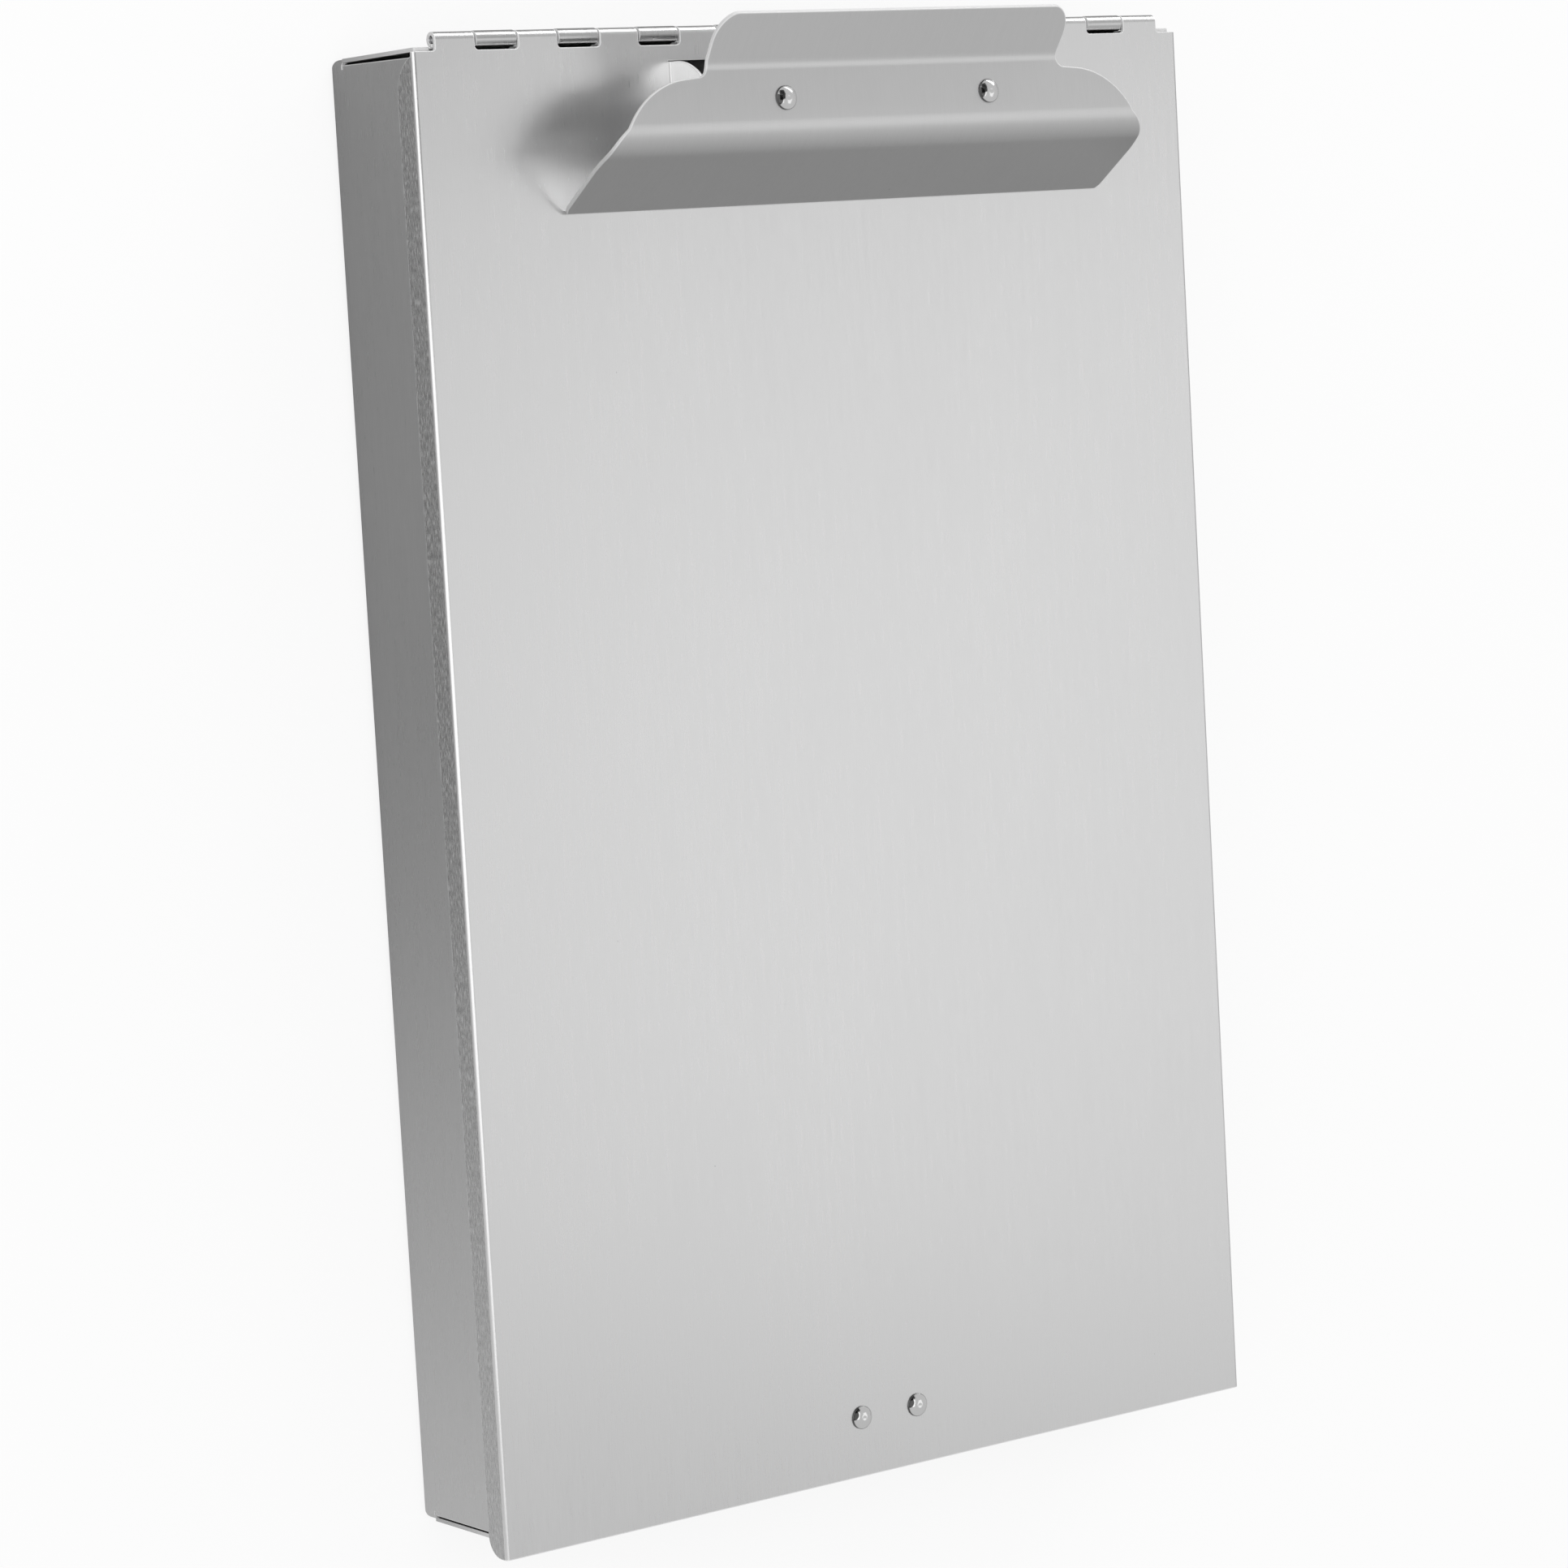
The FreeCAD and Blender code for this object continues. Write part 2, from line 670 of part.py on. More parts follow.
def latch_leaf():
    """Spring-steel leaf under the board, whose nose hooks under the tray's catch lip."""
    top = cover_under_z - seat_gap
    drop_y = lip_edge_y + leaf_clear
    nose_y = lip_edge_y - leaf_hook
    path = [
        point(-leaf_width / 2, drop_y + leaf_foot_length, top),
        point(-leaf_width / 2, drop_y, top),
        point(-leaf_width / 2, drop_y, lip_under_z + leaf_shoulder_above),
        point(-leaf_width / 2, nose_y, lip_under_z - leaf_nose_below),
        point(-leaf_width / 2, nose_y + leaf_tail_back, lip_under_z - leaf_nose_below - leaf_tail_drop),
    ]
    radii = [leaf_bend_radius, leaf_nose_radius, leaf_nose_radius]
    leaf = bent_sheet(path, radii, leaf_sheet, ACROSS, leaf_width)
    holes = [
        Part.makeCylinder(rivet_shank_radius + rivet_hole_clearance, 2 * cut_overrun,
                          point(x, latch_rivet_y, overall_depth - cut_overrun))
        for x in (-latch_rivet_spacing / 2, latch_rivet_spacing / 2)
    ]
    return leaf.cut(holes)


def spring_gap():
    """Gap between neighbouring turns of a spring's coil."""
    return spring_pitch - 2 * spring_wire_radius


def all_parts():
    """Every separate piece by its node name."""
    right_spring = clip_spring()
    return {
        "storage_tray": storage_tray(),
        "hinge_pin": hinge_pin(),
        "writing_cover": writing_cover(),
        "clip_pivot_pin": clip_pivot_pin(),
        "clip_spring_left": mirrored(right_spring, clip_offset),
        "clip_spring_right": right_spring,
        "latch_leaf": latch_leaf(),
        "latch_rivet_left": latch_rivet(-latch_rivet_spacing / 2),
        "latch_rivet_right": latch_rivet(latch_rivet_spacing / 2),
        "clip_lever": clip_lever(),
        "clip_bracket": clip_bracket(),
        "clip_rivet_left": clip_rivet(-rivet_spacing / 2),
        "clip_rivet_right": clip_rivet(rivet_spacing / 2),
    }


os.makedirs("parts", exist_ok=True)
print("gap between spring turns", round(spring_gap(), 3))
for name, shape in all_parts().items():
    shape.exportStep("parts/" + name + ".step")
    print(name, "solids", len(shape.Solids), "valid", shape.isValid(), "volume", round(shape.Volume, 2))
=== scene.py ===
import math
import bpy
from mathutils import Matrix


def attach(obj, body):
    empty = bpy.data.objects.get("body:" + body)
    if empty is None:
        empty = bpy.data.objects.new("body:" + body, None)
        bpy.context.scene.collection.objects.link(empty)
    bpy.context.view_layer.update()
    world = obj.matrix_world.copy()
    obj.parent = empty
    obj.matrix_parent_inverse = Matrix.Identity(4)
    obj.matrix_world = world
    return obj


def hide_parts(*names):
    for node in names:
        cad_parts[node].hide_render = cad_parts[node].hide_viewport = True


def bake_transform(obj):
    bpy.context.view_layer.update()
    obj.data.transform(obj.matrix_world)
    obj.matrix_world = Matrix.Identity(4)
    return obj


bl_info = {
    "name": "Storage Clipboard",
    "version": (1, 0, 0),
    "blender": (4, 5, 0),
    "location": "View3D > Sidebar > Clipboard",
    "description": "Builds the sheet-metal storage clipboard around its packed CAD frame",
    "category": "Add Mesh",
}

from types import SimpleNamespace

import bpy
import numpy as np
from bpy.props import FloatProperty, FloatVectorProperty, IntProperty, PointerProperty
from mathutils import Matrix, Vector, geometry

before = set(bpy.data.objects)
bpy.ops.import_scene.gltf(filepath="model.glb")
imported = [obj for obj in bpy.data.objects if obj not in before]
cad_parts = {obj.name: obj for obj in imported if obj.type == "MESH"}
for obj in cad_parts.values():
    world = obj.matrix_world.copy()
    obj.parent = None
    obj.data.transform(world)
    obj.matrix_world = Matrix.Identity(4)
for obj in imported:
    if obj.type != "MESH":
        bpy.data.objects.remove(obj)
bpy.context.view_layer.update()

PATTERN_MAP = "pattern"
RIM = "rim"

# Clearances in metres: between pieces that rest on each other, between faces that are riveted or
# set together, between the end wall and a knuckle, and between a pin and its hole.
REST_GAP = 0.0003
SEAT_GAP = 0.00002
KNUCKLE_GAP = 0.0004
PIN_PLAY = 0.00005
RIVET_HOLE_RADIUS = 0.00153
HOLE_POINTS = 28
QUARTER_TURN = math.pi / 2
MM_PER_METRE = 1000
# Reach, in metres, of a crease that crosses the whole pattern.
EDGE_TO_EDGE = (-1, 1)


def size_prop(name, description, default):
    """A length that a user can change."""
    return FloatProperty(name=name, description=description, default=default, precision=5, unit="LENGTH")


def angle_prop(name, description, degrees):
    """An angle that a user can change, with its default in degrees."""
    return FloatProperty(name=name, description=description, default=math.radians(degrees), subtype="ANGLE")


def share_prop(name, description, default):
    """A number from 0 to 1 that a user can change."""
    return FloatProperty(name=name, description=description, default=default, min=0, max=1, subtype="FACTOR")


def brightness_prop(name, description, default):
    """A light's or a surface's brightness that a user can change."""
    return FloatProperty(name=name, description=description, default=default, min=0)


def colour_prop(name, description, default):
    """A linear colour that a user can change."""
    return FloatVectorProperty(name=name, description=description, size=3, default=default, min=0, max=1,
                               subtype="COLOR")


class BoardSizes(bpy.types.PropertyGroup):
    """Sizes of the writing board, which is also the lid."""

    width: size_prop("Width", "Width over both side flanges", 0.2286)
    depth: size_prop("Depth", "Height of the writing face above the table", 0.0381)
    sheet: size_prop("Sheet", "Sheet thickness", 0.0009)
    bend_radius: size_prop("Bend radius", "Outside radius of the flange bend", 0.001)
    flange: size_prop("Flange depth", "Depth of the side flanges", 0.0073)
    low_round: size_prop("Lower flange round", "Radius at the flange's free end", 0.005)
    high_round: size_prop("Upper flange round", "Radius at the flange's hinge end", 0.0095)
    high_start: size_prop("Upper round start", "Where the upper round begins, from the hinge edge", 0.010)
    overhang: size_prop("Pull overhang", "How far the board reaches past the tray", 0.0038)
    ear_spacing: size_prop("Ear spacing", "Distance over the two ears", 0.0948)
    ear_round: size_prop("Ear round", "Radius of the ears' tops", 0.0143)
    ear_rise: size_prop("Ear rise", "Centre of the ear's round above the board", 0.0017)
    ear_from_hinge: size_prop("Ear from hinge", "Centre of the ear from the hinge axis", 0.0208)
    ear_reach: size_prop("Ear reach", "Straight side of the ear below its centre", 0.0118)
    ear_bend: size_prop("Ear bend radius", "Inside radius of the ear's bend", 0.0005)
    window: size_prop("Window width", "Width of the opening that an ear leaves", 0.0165)


class TraySizes(bpy.types.PropertyGroup):
    """Sizes of the folded tray."""

    length: size_prop("Length", "Length over the end walls", 0.3464)
    sheet: size_prop("Sheet", "Sheet thickness", 0.001)
    bend_radius: size_prop("Bend radius", "Outside radius of the folds", 0.002)
    lean: size_prop("Hinge wall lean", "How far the hinge wall leans out at its rim", 0.0008)
    drop: size_prop("Hinge wall drop", "How far the hinge wall stops below the rim", 0.0034)
    slit: size_prop("Corner slit", "Gap between side and end walls", 0.0004)
    drawn: size_prop("Drawn corner", "Height up to which the back corners are closed", 0.0056)
    lip_width: size_prop("Catch lip width", "Width of the lip for the latch", 0.050)
    lip_depth: size_prop("Catch lip depth", "Reach of the lip over the tray", 0.0062)
    lip_bend: size_prop("Catch lip bend", "Outside radius of the lip's bend", 0.0015)


class HingeSizes(bpy.types.PropertyGroup):
    """Sizes of the long rolled hinge."""

    pin_radius: size_prop("Pin radius", "Radius of the hinge pin", 0.00085)
    pin_inset: size_prop("Pin inset", "How far the pin's ends lie inside the roll", 0.0006)
    roll_width: size_prop("Roll width", "Width of the board's rolled edge", 0.216)
    roll_radius: size_prop("Roll radius", "Outside radius of the board's roll", 0.0018)
    roll_turn: angle_prop("Roll turn", "How far the board's edge is rolled", 287)
    eye_radius: size_prop("Knuckle radius", "Outside radius of the tray's knuckles", 0.00195)
    eye_turn: angle_prop("Knuckle turn", "How far a knuckle is rolled", 307)
    knuckles: IntProperty(name="Knuckles", description="Number of knuckles on the tray", default=9, min=1)
    pitch: size_prop("Pitch", "Distance between knuckles", 0.0228)
    eye_width: size_prop("Knuckle width", "Width of one knuckle", 0.011)
    side_gap: size_prop("Side gap", "Gap beside a knuckle in its notch", 0.0005)
    end_gap: size_prop("End gap", "Gap between a knuckle and its notch's end", 0.0006)
    corner: size_prop("Notch corner", "Radius in the notches' corners", 0.001)


class ClipSizes(bpy.types.PropertyGroup):
    """Sizes of the sprung paper clip."""

    offset: size_prop("Offset", "Clip's middle to the right of the board's", 0.0046)
    sheet: size_prop("Sheet", "Sheet thickness of the lever", 0.001)
    half_width: size_prop("Half width", "Half the lever's width", 0.0806)
    from_hinge: size_prop("Jaw from hinge", "Jaw's edge from the hinge axis", 0.041)
    jaw_gap: size_prop("Jaw gap", "Jaw above the bare board", 0.0003)
    jaw_length: size_prop("Jaw length", "Jaw flange to its corner", 0.0262)
    jaw_angle: angle_prop("Jaw angle", "Climb of the jaw flange", 55.8)
    flat_length: size_prop("Flat length", "Rivet flat between its corners", 0.0179)
    flat_angle: angle_prop("Flat angle", "Fall of the rivet flat", 4.5)
    tab_length: size_prop("Tab length", "Press tab from its corner", 0.0135)
    tab_angle: angle_prop("Tab angle", "Climb of the press tab", 33.6)
    jaw_bend: size_prop("Jaw bend radius", "Outside radius of the jaw's bend", 0.0088)
    tab_bend: size_prop("Tab bend radius", "Outside radius of the tab's bend", 0.0045)
    rivet_spacing: size_prop("Rivet spacing", "Distance between the clip's rivets", 0.0608)
    rivet_along: size_prop("Rivet place", "Rivets along the flat from the jaw's corner", 0.0097)
    pivot_drop: size_prop("Pivot drop", "Pivot pin below the flat", 0.01015)
    pin_radius: size_prop("Pivot pin radius", "Radius of the pivot pin", 0.0015)
    bracket: size_prop("Bracket sheet", "Sheet thickness of the bracket", 0.0012)
    bracket_width: size_prop("Bracket width", "Width of the bracket's strip", 0.009)
    wire: size_prop("Spring wire radius", "Radius of the springs' wire", 0.00065)
    coil: size_prop("Spring coil radius", "Radius of the coils at the wire's middle", 0.0026)
    turns: IntProperty(name="Spring turns", description="Full turns of each spring", default=5, min=1)


class RivetSizes(bpy.types.PropertyGroup):
    """Sizes of the domed rivets and of the latch leaf that two of them hold."""

    head_radius: size_prop("Head radius", "Radius of the domed head", 0.00285)
    head_height: size_prop("Head height", "Height of the domed head", 0.00135)
    dimple: size_prop("Dimple", "Depth of the setting mark in the head", 0.00012)
    spacing: size_prop("Latch rivet spacing", "Distance between the latch rivets", 0.0173)
    from_edge: size_prop("Latch rivets from edge", "Latch rivets from the board's free edge", 0.01475)
    leaf: size_prop("Leaf sheet", "Thickness of the latch leaf", 0.0005)
    leaf_width: size_prop("Leaf width", "Width of the latch leaf", 0.028)


class Finishes(bpy.types.PropertyGroup):
    """Colours and brushing of the metals."""

    board: colour_prop("Board", "Colour of the board's aluminium", (0.87, 0.87, 0.87))
    tray: colour_prop("Tray", "Colour of the tray's aluminium", (0.73, 0.73, 0.73))
    lever: colour_prop("Lever", "Colour of the lever's aluminium", (0.80, 0.80, 0.80))
    rivet: colour_prop("Rivets", "Colour of the polished rivets", (0.92, 0.92, 0.92))
    steel: colour_prop("Steel", "Colour of pins and springs", (0.45, 0.45, 0.46))
    zinc: colour_prop("Zinc", "Colour of the plated bracket", (0.66, 0.66, 0.67))
    roughness: share_prop("Roughness", "Roughness of the brushed aluminium", 0.30)
    brushing: share_prop("Brushing", "How far highlights are drawn out across the grain", 0.5)


class StageSettings(bpy.types.PropertyGroup):
    """Floor, lights and camera."""

    floor: colour_prop("Floor", "Colour of the floor", (0.62, 0.62, 0.62))
    surround: brightness_prop("Surround", "Brightness of the plain surround", 0.51)
    key: brightness_prop("Key light", "Brightness of the light at the right", 0.41)
    side: brightness_prop("Side light", "Brightness of the light at the left", 0.8)
    back: brightness_prop("Back light", "Brightness of the low light past the hinge", 3.0)
    lift: brightness_prop("Floor lift", "Brightness added to the floor where the camera looks", 0.815)
    # Painted sheen: a glow on the floor that only the metal's reflections show.
    sheen: brightness_prop("Floor sheen", "Brightness that metal sees in the floor at the free end", 0.28)
    lens: FloatProperty(name="Lens", description="Focal length in millimetres", default=115.165)


def places(scene):
    """Heights, edges and axes that follow from the sizes, in metres.

    lever holds the jaw's edge, the lever's two corners and its tip, along and up. flat is the turn
    and move from the origin to the start of the lever's rivet flat.
    """
    board, tray, hinge, clip = scene.board_sizes, scene.tray_sizes, scene.hinge_sizes, scene.clip_sizes
    p = SimpleNamespace()
    p.end_y = tray.length / 2
    p.half_tray = board.width / 2 - board.sheet - REST_GAP
    p.under_z = board.depth - board.sheet
    p.rim_z = p.under_z - REST_GAP
    p.low_y = -p.end_y - board.overhang
    p.hinge_y = p.end_y + KNUCKLE_GAP + hinge.eye_radius
    p.hinge_z = board.depth - hinge.roll_radius
    p.high_y = p.hinge_y - hinge.eye_radius - hinge.end_gap
    p.ear_y = p.hinge_y - board.ear_from_hinge
    p.latch_y = p.low_y + scene.rivet_sizes.from_edge
    p.lip_y = -p.end_y + tray.lip_depth
    p.lip_z = p.rim_z - tray.sheet
    p.knuckles = (np.arange(hinge.knuckles) - (hinge.knuckles - 1) / 2) * hinge.pitch

    def way(climb):
        return np.array([math.cos(climb), math.sin(climb)])

    jaw_top = board.depth + clip.jaw_gap + clip.sheet * math.cos(clip.jaw_angle)
    edge = np.array([p.hinge_y - clip.from_hinge, jaw_top])
    jaw = edge + clip.jaw_length * way(clip.jaw_angle)
    run = way(-clip.flat_angle)
    tab = jaw + clip.flat_length * run
    tip = tab + clip.tab_length * way(clip.tab_angle)
    p.lever = np.array([edge, jaw, tab, tip])
    rise = np.array([-run[1], run[0]])
    p.pivot = jaw + run * clip.rivet_along - rise * clip.pivot_drop
    p.flat = Matrix.Translation((clip.offset, jaw[0], jaw[1])) @ Matrix.Rotation(-clip.flat_angle, 4, "X")
    return p


def soft_line(corners, steps=6):
    """A line through corners (x, y, radius) that are arcs where their radius isn't 0.

    An arc's centre lies on its corner's bisector, the radius / sin(half the corner's angle) away.
    """
    table = np.asarray(corners, float)
    points = table[:, :2]
    parts = []
    for index, (corner, radius) in enumerate(zip(points, table[:, 2])):
        if radius == 0:
            parts.append(corner[None])
            continue
        back = points[index - 1] - corner
        ahead = points[(index + 1) % len(points)] - corner
        back /= np.linalg.norm(back)
        ahead /= np.linalg.norm(ahead)
        half = math.acos(np.clip(back @ ahead, -1, 1)) / 2
        middle = (back + ahead) / np.linalg.norm(back + ahead)
        centre = corner + middle * radius / math.sin(half)
        first = corner + back * radius / math.tan(half) - centre
        last = corner + ahead * radius / math.tan(half) - centre
        sweep = math.atan2(first[0] * last[1] - first[1] * last[0], first @ last)
        turn = math.atan2(first[1], first[0]) + sweep * np.linspace(0, 1, steps + 1)
        parts.append(centre + radius * np.column_stack([np.cos(turn), np.sin(turn)]))
    return np.concatenate(parts)


def flipped(corners, x=1, y=1):
    """Corners (x, y, radius) with their places times a sign in x and in y."""
    return [(across * x, along * y, radius) for across, along, radius in corners]


def hole(centre, radius):
    """A round hole as a closed line: centre plus radius times the cosine and sine of even angles."""
    start_share = 0.37
    turn = -2 * math.pi * (np.arange(HOLE_POINTS) + start_share) / HOLE_POINTS
    return np.asarray(centre, float) + radius * np.column_stack([np.cos(turn), np.sin(turn)])


def arc_through(start, middle, end, count):
    """Points of the circle through three points, from start to end by way of the middle one."""
    a, b, c = (np.asarray(point, float) for point in (start, middle, end))
    rows = 2 * np.array([b - a, c - a])
    centre = np.linalg.solve(rows, np.array([b @ b - a @ a, c @ c - a @ a]))
    first, mid, last = a - centre, b - centre, c - centre
    angle = [math.atan2(p[1], p[0]) for p in (first, mid, last)]
    sweep = (angle[2] - angle[0]) % (2 * math.pi)
    if (angle[1] - angle[0]) % (2 * math.pi) > sweep:
        sweep -= 2 * math.pi
    turned = angle[0] + sweep * np.linspace(0, 1, count)
    return centre + np.linalg.norm(first) * np.column_stack([np.cos(turned), np.sin(turned)])


def bend_plan(points, radii):
    """First heading, and the runs and arcs of a strip bent through corner points.

    Headings are measured downwards from the strip's own direction. A corner with a turn t and a
    radius r takes r tan(t / 2) from the runs on both its sides, and its arc is r t long.
    """
    steps = np.diff(np.asarray(points, float), axis=0)
    lengths = np.hypot(steps[:, 0], steps[:, 1])
    headings = np.arctan2(-steps[:, 1], steps[:, 0])
    turns = (np.diff(headings) + math.pi) % (2 * math.pi) - math.pi
    reach = np.asarray(radii, float) * np.tan(np.abs(turns) / 2)
    runs = lengths - np.append(reach, 0) - np.insert(reach, 0, 0)
    pieces = []
    for run, radius, turn in zip(runs, radii, turns):
        pieces += [(run, 0.0), (radius * abs(turn), turn)]
    return headings[0], pieces + [(runs[-1], 0.0)]


def run_along(length, heading, pieces):
    """Place and heading after a length along runs and arcs, for a whole array of lengths.

    On a run the place moves by length times (cos h, -sin h). On an arc of curvature k it moves by
    the integral of that: ((sin(h + k l) - sin h) / k, (cos(h + k l) - cos h) / k).
    """
    out = np.minimum(length, 0) * math.cos(heading)
    up = -np.minimum(length, 0) * math.sin(heading)
    turned = np.full(length.shape, heading)
    done = 0.0
    for span, turn in pieces:
        part = np.clip(length - done, 0, span)
        if turn == 0:
            out = out + part * math.cos(heading)
            up = up - part * math.sin(heading)
        else:
            curve = turn / span
            out = out + (np.sin(heading + curve * part) - math.sin(heading)) / curve
            up = up + (np.cos(heading + curve * part) - math.cos(heading)) / curve
            turned = turned + curve * part
        heading += turn
        done += span
    return out, up, turned


def arc_lengths(pieces, segments):
    """Lengths along a strip where its arcs begin, are divided and end."""
    lengths, done = [], 0.0
    for (span, turn), count in zip(pieces, segments):
        if turn:
            lengths += list(done + np.linspace(0, span, count + 1))
        done += span
    return lengths


def drawn_corner(flat, start, signs, radius, lean):
    """Where a bottom and two walls meet, pulled up without a cut: place, normal and tangents.

    A point a and b past the two bends lies at the length max(a, b) up a quarter round of the
    radius and the wall above it. The azimuth runs from 0 at b = 0 through 45 degrees at a = b to
    90 degrees at a = 0. The wall leans out by the lean times the azimuth's share of 90 degrees.
    """
    past = np.maximum((flat - start) * signs, 0)
    length = past.max(axis=1)
    safe = np.maximum(length, 1e-9)
    share = np.where(past[:, 0] >= past[:, 1], past[:, 1] / safe / 2, 1 - past[:, 0] / safe / 2)
    azimuth = share * QUARTER_TURN
    climb = np.minimum(length / radius, QUARTER_TURN - share * lean)
    wall = length - radius * climb
    reach = radius * np.sin(climb) + wall * np.cos(climb)
    height = radius * (1 - np.cos(climb)) + wall * np.sin(climb)
    round_way = np.column_stack([np.cos(azimuth) * signs[0], np.sin(azimuth) * signs[1]])
    side_way = np.column_stack([-np.sin(azimuth) * signs[0], np.cos(azimuth) * signs[1], 0 * azimuth])
    place = np.column_stack([start + round_way * reach[:, None], height])
    normal = np.column_stack([round_way * np.sin(climb)[:, None], -np.cos(climb)])
    up_way = np.column_stack([round_way * np.cos(climb)[:, None], np.sin(climb)])
    first = (past[:, 0] >= past[:, 1])[:, None]
    along_x = np.where(first, up_way, -side_way) * signs[0]
    along_y = np.where(first, side_way, up_way) * signs[1]
    return place, normal, along_x, along_y


def fold(flat, zones, base_z, side):
    """Bend a flat pattern into shape: place, normal and the two tangents of its outer face.

    A zone is (inside, axis, start, direction, heading, pieces). In it the distance past start is
    a length along the pieces, out is measured on the zone's axis and up on z. Where the axis is
    None the zone is a drawn corner, and its last three values are the corner's signs, radius and
    lean. side is 1 where the outer face looks up and -1 where it looks down.
    """
    count = len(flat)
    place = np.column_stack([flat, np.full(count, base_z)])
    normal = np.tile([0.0, 0.0, side], (count, 1))
    tangents = [np.tile([1.0, 0.0, 0.0], (count, 1)), np.tile([0.0, 1.0, 0.0], (count, 1))]
    for inside, axis, start, direction, heading, pieces in zones:
        rows = inside(flat[:, 0], flat[:, 1])
        if axis is None:
            place[rows], normal[rows], tangents[0][rows], tangents[1][rows] = drawn_corner(
                flat[rows], start, direction, heading, pieces)
            continue
        out, up, turned = run_along((flat[rows, axis] - start) * direction, heading, pieces)
        place[rows, axis] = start + direction * out
        place[rows, 2] = base_z + side * up
        normal[rows, axis] = direction * np.sin(turned)
        normal[rows, 2] = side * np.cos(turned)
        tangents[axis][rows, axis] = np.cos(turned)
        tangents[axis][rows, 2] = -side * direction * np.sin(turned)
    return place, normal, tangents[0], tangents[1]


def crossed(loop, creases):
    """A closed line with a point added where it crosses each crease, and each point's crease, or -1.

    A crease is (axis, value, low, high): the line on which the coordinate of that axis has the
    value, as far as the other coordinate lies between low and high.
    """
    after = np.roll(loop, -1, axis=0)
    where, shares, labels = [np.arange(len(loop))], [np.zeros(len(loop))], [np.full(len(loop), -1)]
    for index, (axis, value, low, high) in enumerate(creases):
        one, two = loop[:, axis] - value, after[:, axis] - value
        hit = np.nonzero((one < 0) != (two < 0))[0]
        share = one[hit] / (one[hit] - two[hit])
        other = loop[hit, 1 - axis] * (1 - share) + after[hit, 1 - axis] * share
        keep = (other > low) & (other < high)
        where.append(hit[keep])
        shares.append(share[keep])
        labels.append(np.full(keep.sum(), index))
    where, shares, labels = (np.concatenate(parts) for parts in (where, shares, labels))
    order = np.lexsort((shares, where))
    where, shares, labels = where[order], shares[order], labels[order]
    points = loop[where] * (1 - shares[:, None]) + after[where] * shares[:, None]
    same_point = 4e-6
    near = np.linalg.norm(np.roll(points, -1, axis=0) - points, axis=1) < same_point
    drop = near & (labels < 0) | np.roll(near, 1) & (labels < 0)
    return points[~drop], labels[~drop]


def inward(points):
    """At each point of a closed line, how it moves when both its sides move one unit to their left."""
    ahead = np.roll(points, -1, axis=0) - points
    ahead /= np.linalg.norm(ahead, axis=1)[:, None]
    back = np.roll(ahead, 1, axis=0)
    left_one = np.column_stack([-back[:, 1], back[:, 0]])
    left_two = np.column_stack([-ahead[:, 1], ahead[:, 0]])
    return (left_one + left_two) / (1 + np.sum(left_one * left_two, axis=1))[:, None]


def inside_loops(points, starts, ends):
    """For each point whether it lies inside closed lines, by how many of their sides a ray crosses."""
    x, y = points[:, 0][:, None], points[:, 1][:, None]
    straddles = (starts[:, 1] > y) != (ends[:, 1] > y)
    rise = np.where(ends[:, 1] == starts[:, 1], 1, ends[:, 1] - starts[:, 1])
    at = starts[:, 0] + (y - starts[:, 1]) * (ends[:, 0] - starts[:, 0]) / rise
    return np.sum(straddles & (x < at), axis=1) % 2 == 1


def kept_faces(spots, faces, outline):
    """Triangles inside an outline. One too thin to tell goes with its neighbour inside the same line."""
    a, b, c = (spots[faces[:, index]] for index in range(3))
    area = (b[:, 0] - a[:, 0]) * (c[:, 1] - a[:, 1]) - (b[:, 1] - a[:, 1]) * (c[:, 0] - a[:, 0])
    inside = inside_loops((a + b + c) / 3, spots[outline[:, 0]], spots[outline[:, 1]])
    too_thin, rounds = 1e-4, 12
    known = np.abs(area) > too_thin
    edges = np.sort(np.concatenate([faces[:, [0, 1]], faces[:, [1, 2]], faces[:, [2, 0]]]), axis=1)
    keys = edges[:, 0] * len(spots) + edges[:, 1]
    line = np.sort(outline, axis=1)
    free = np.nonzero(~np.isin(keys, line[:, 0] * len(spots) + line[:, 1]))[0]
    free = free[np.argsort(keys[free], kind="stable")]
    twin = np.nonzero(keys[free[:-1]] == keys[free[1:]])[0]
    one, two = free[twin] % len(faces), free[twin + 1] % len(faces)
    for source, target in [(one, two), (two, one)] * rounds:
        spread = known[source] & ~known[target]
        inside[target[spread]] = inside[source[spread]]
        known[target[spread]] = True
    kept = faces[inside]
    return kept if area.sum() > 0 else kept[:, ::-1]


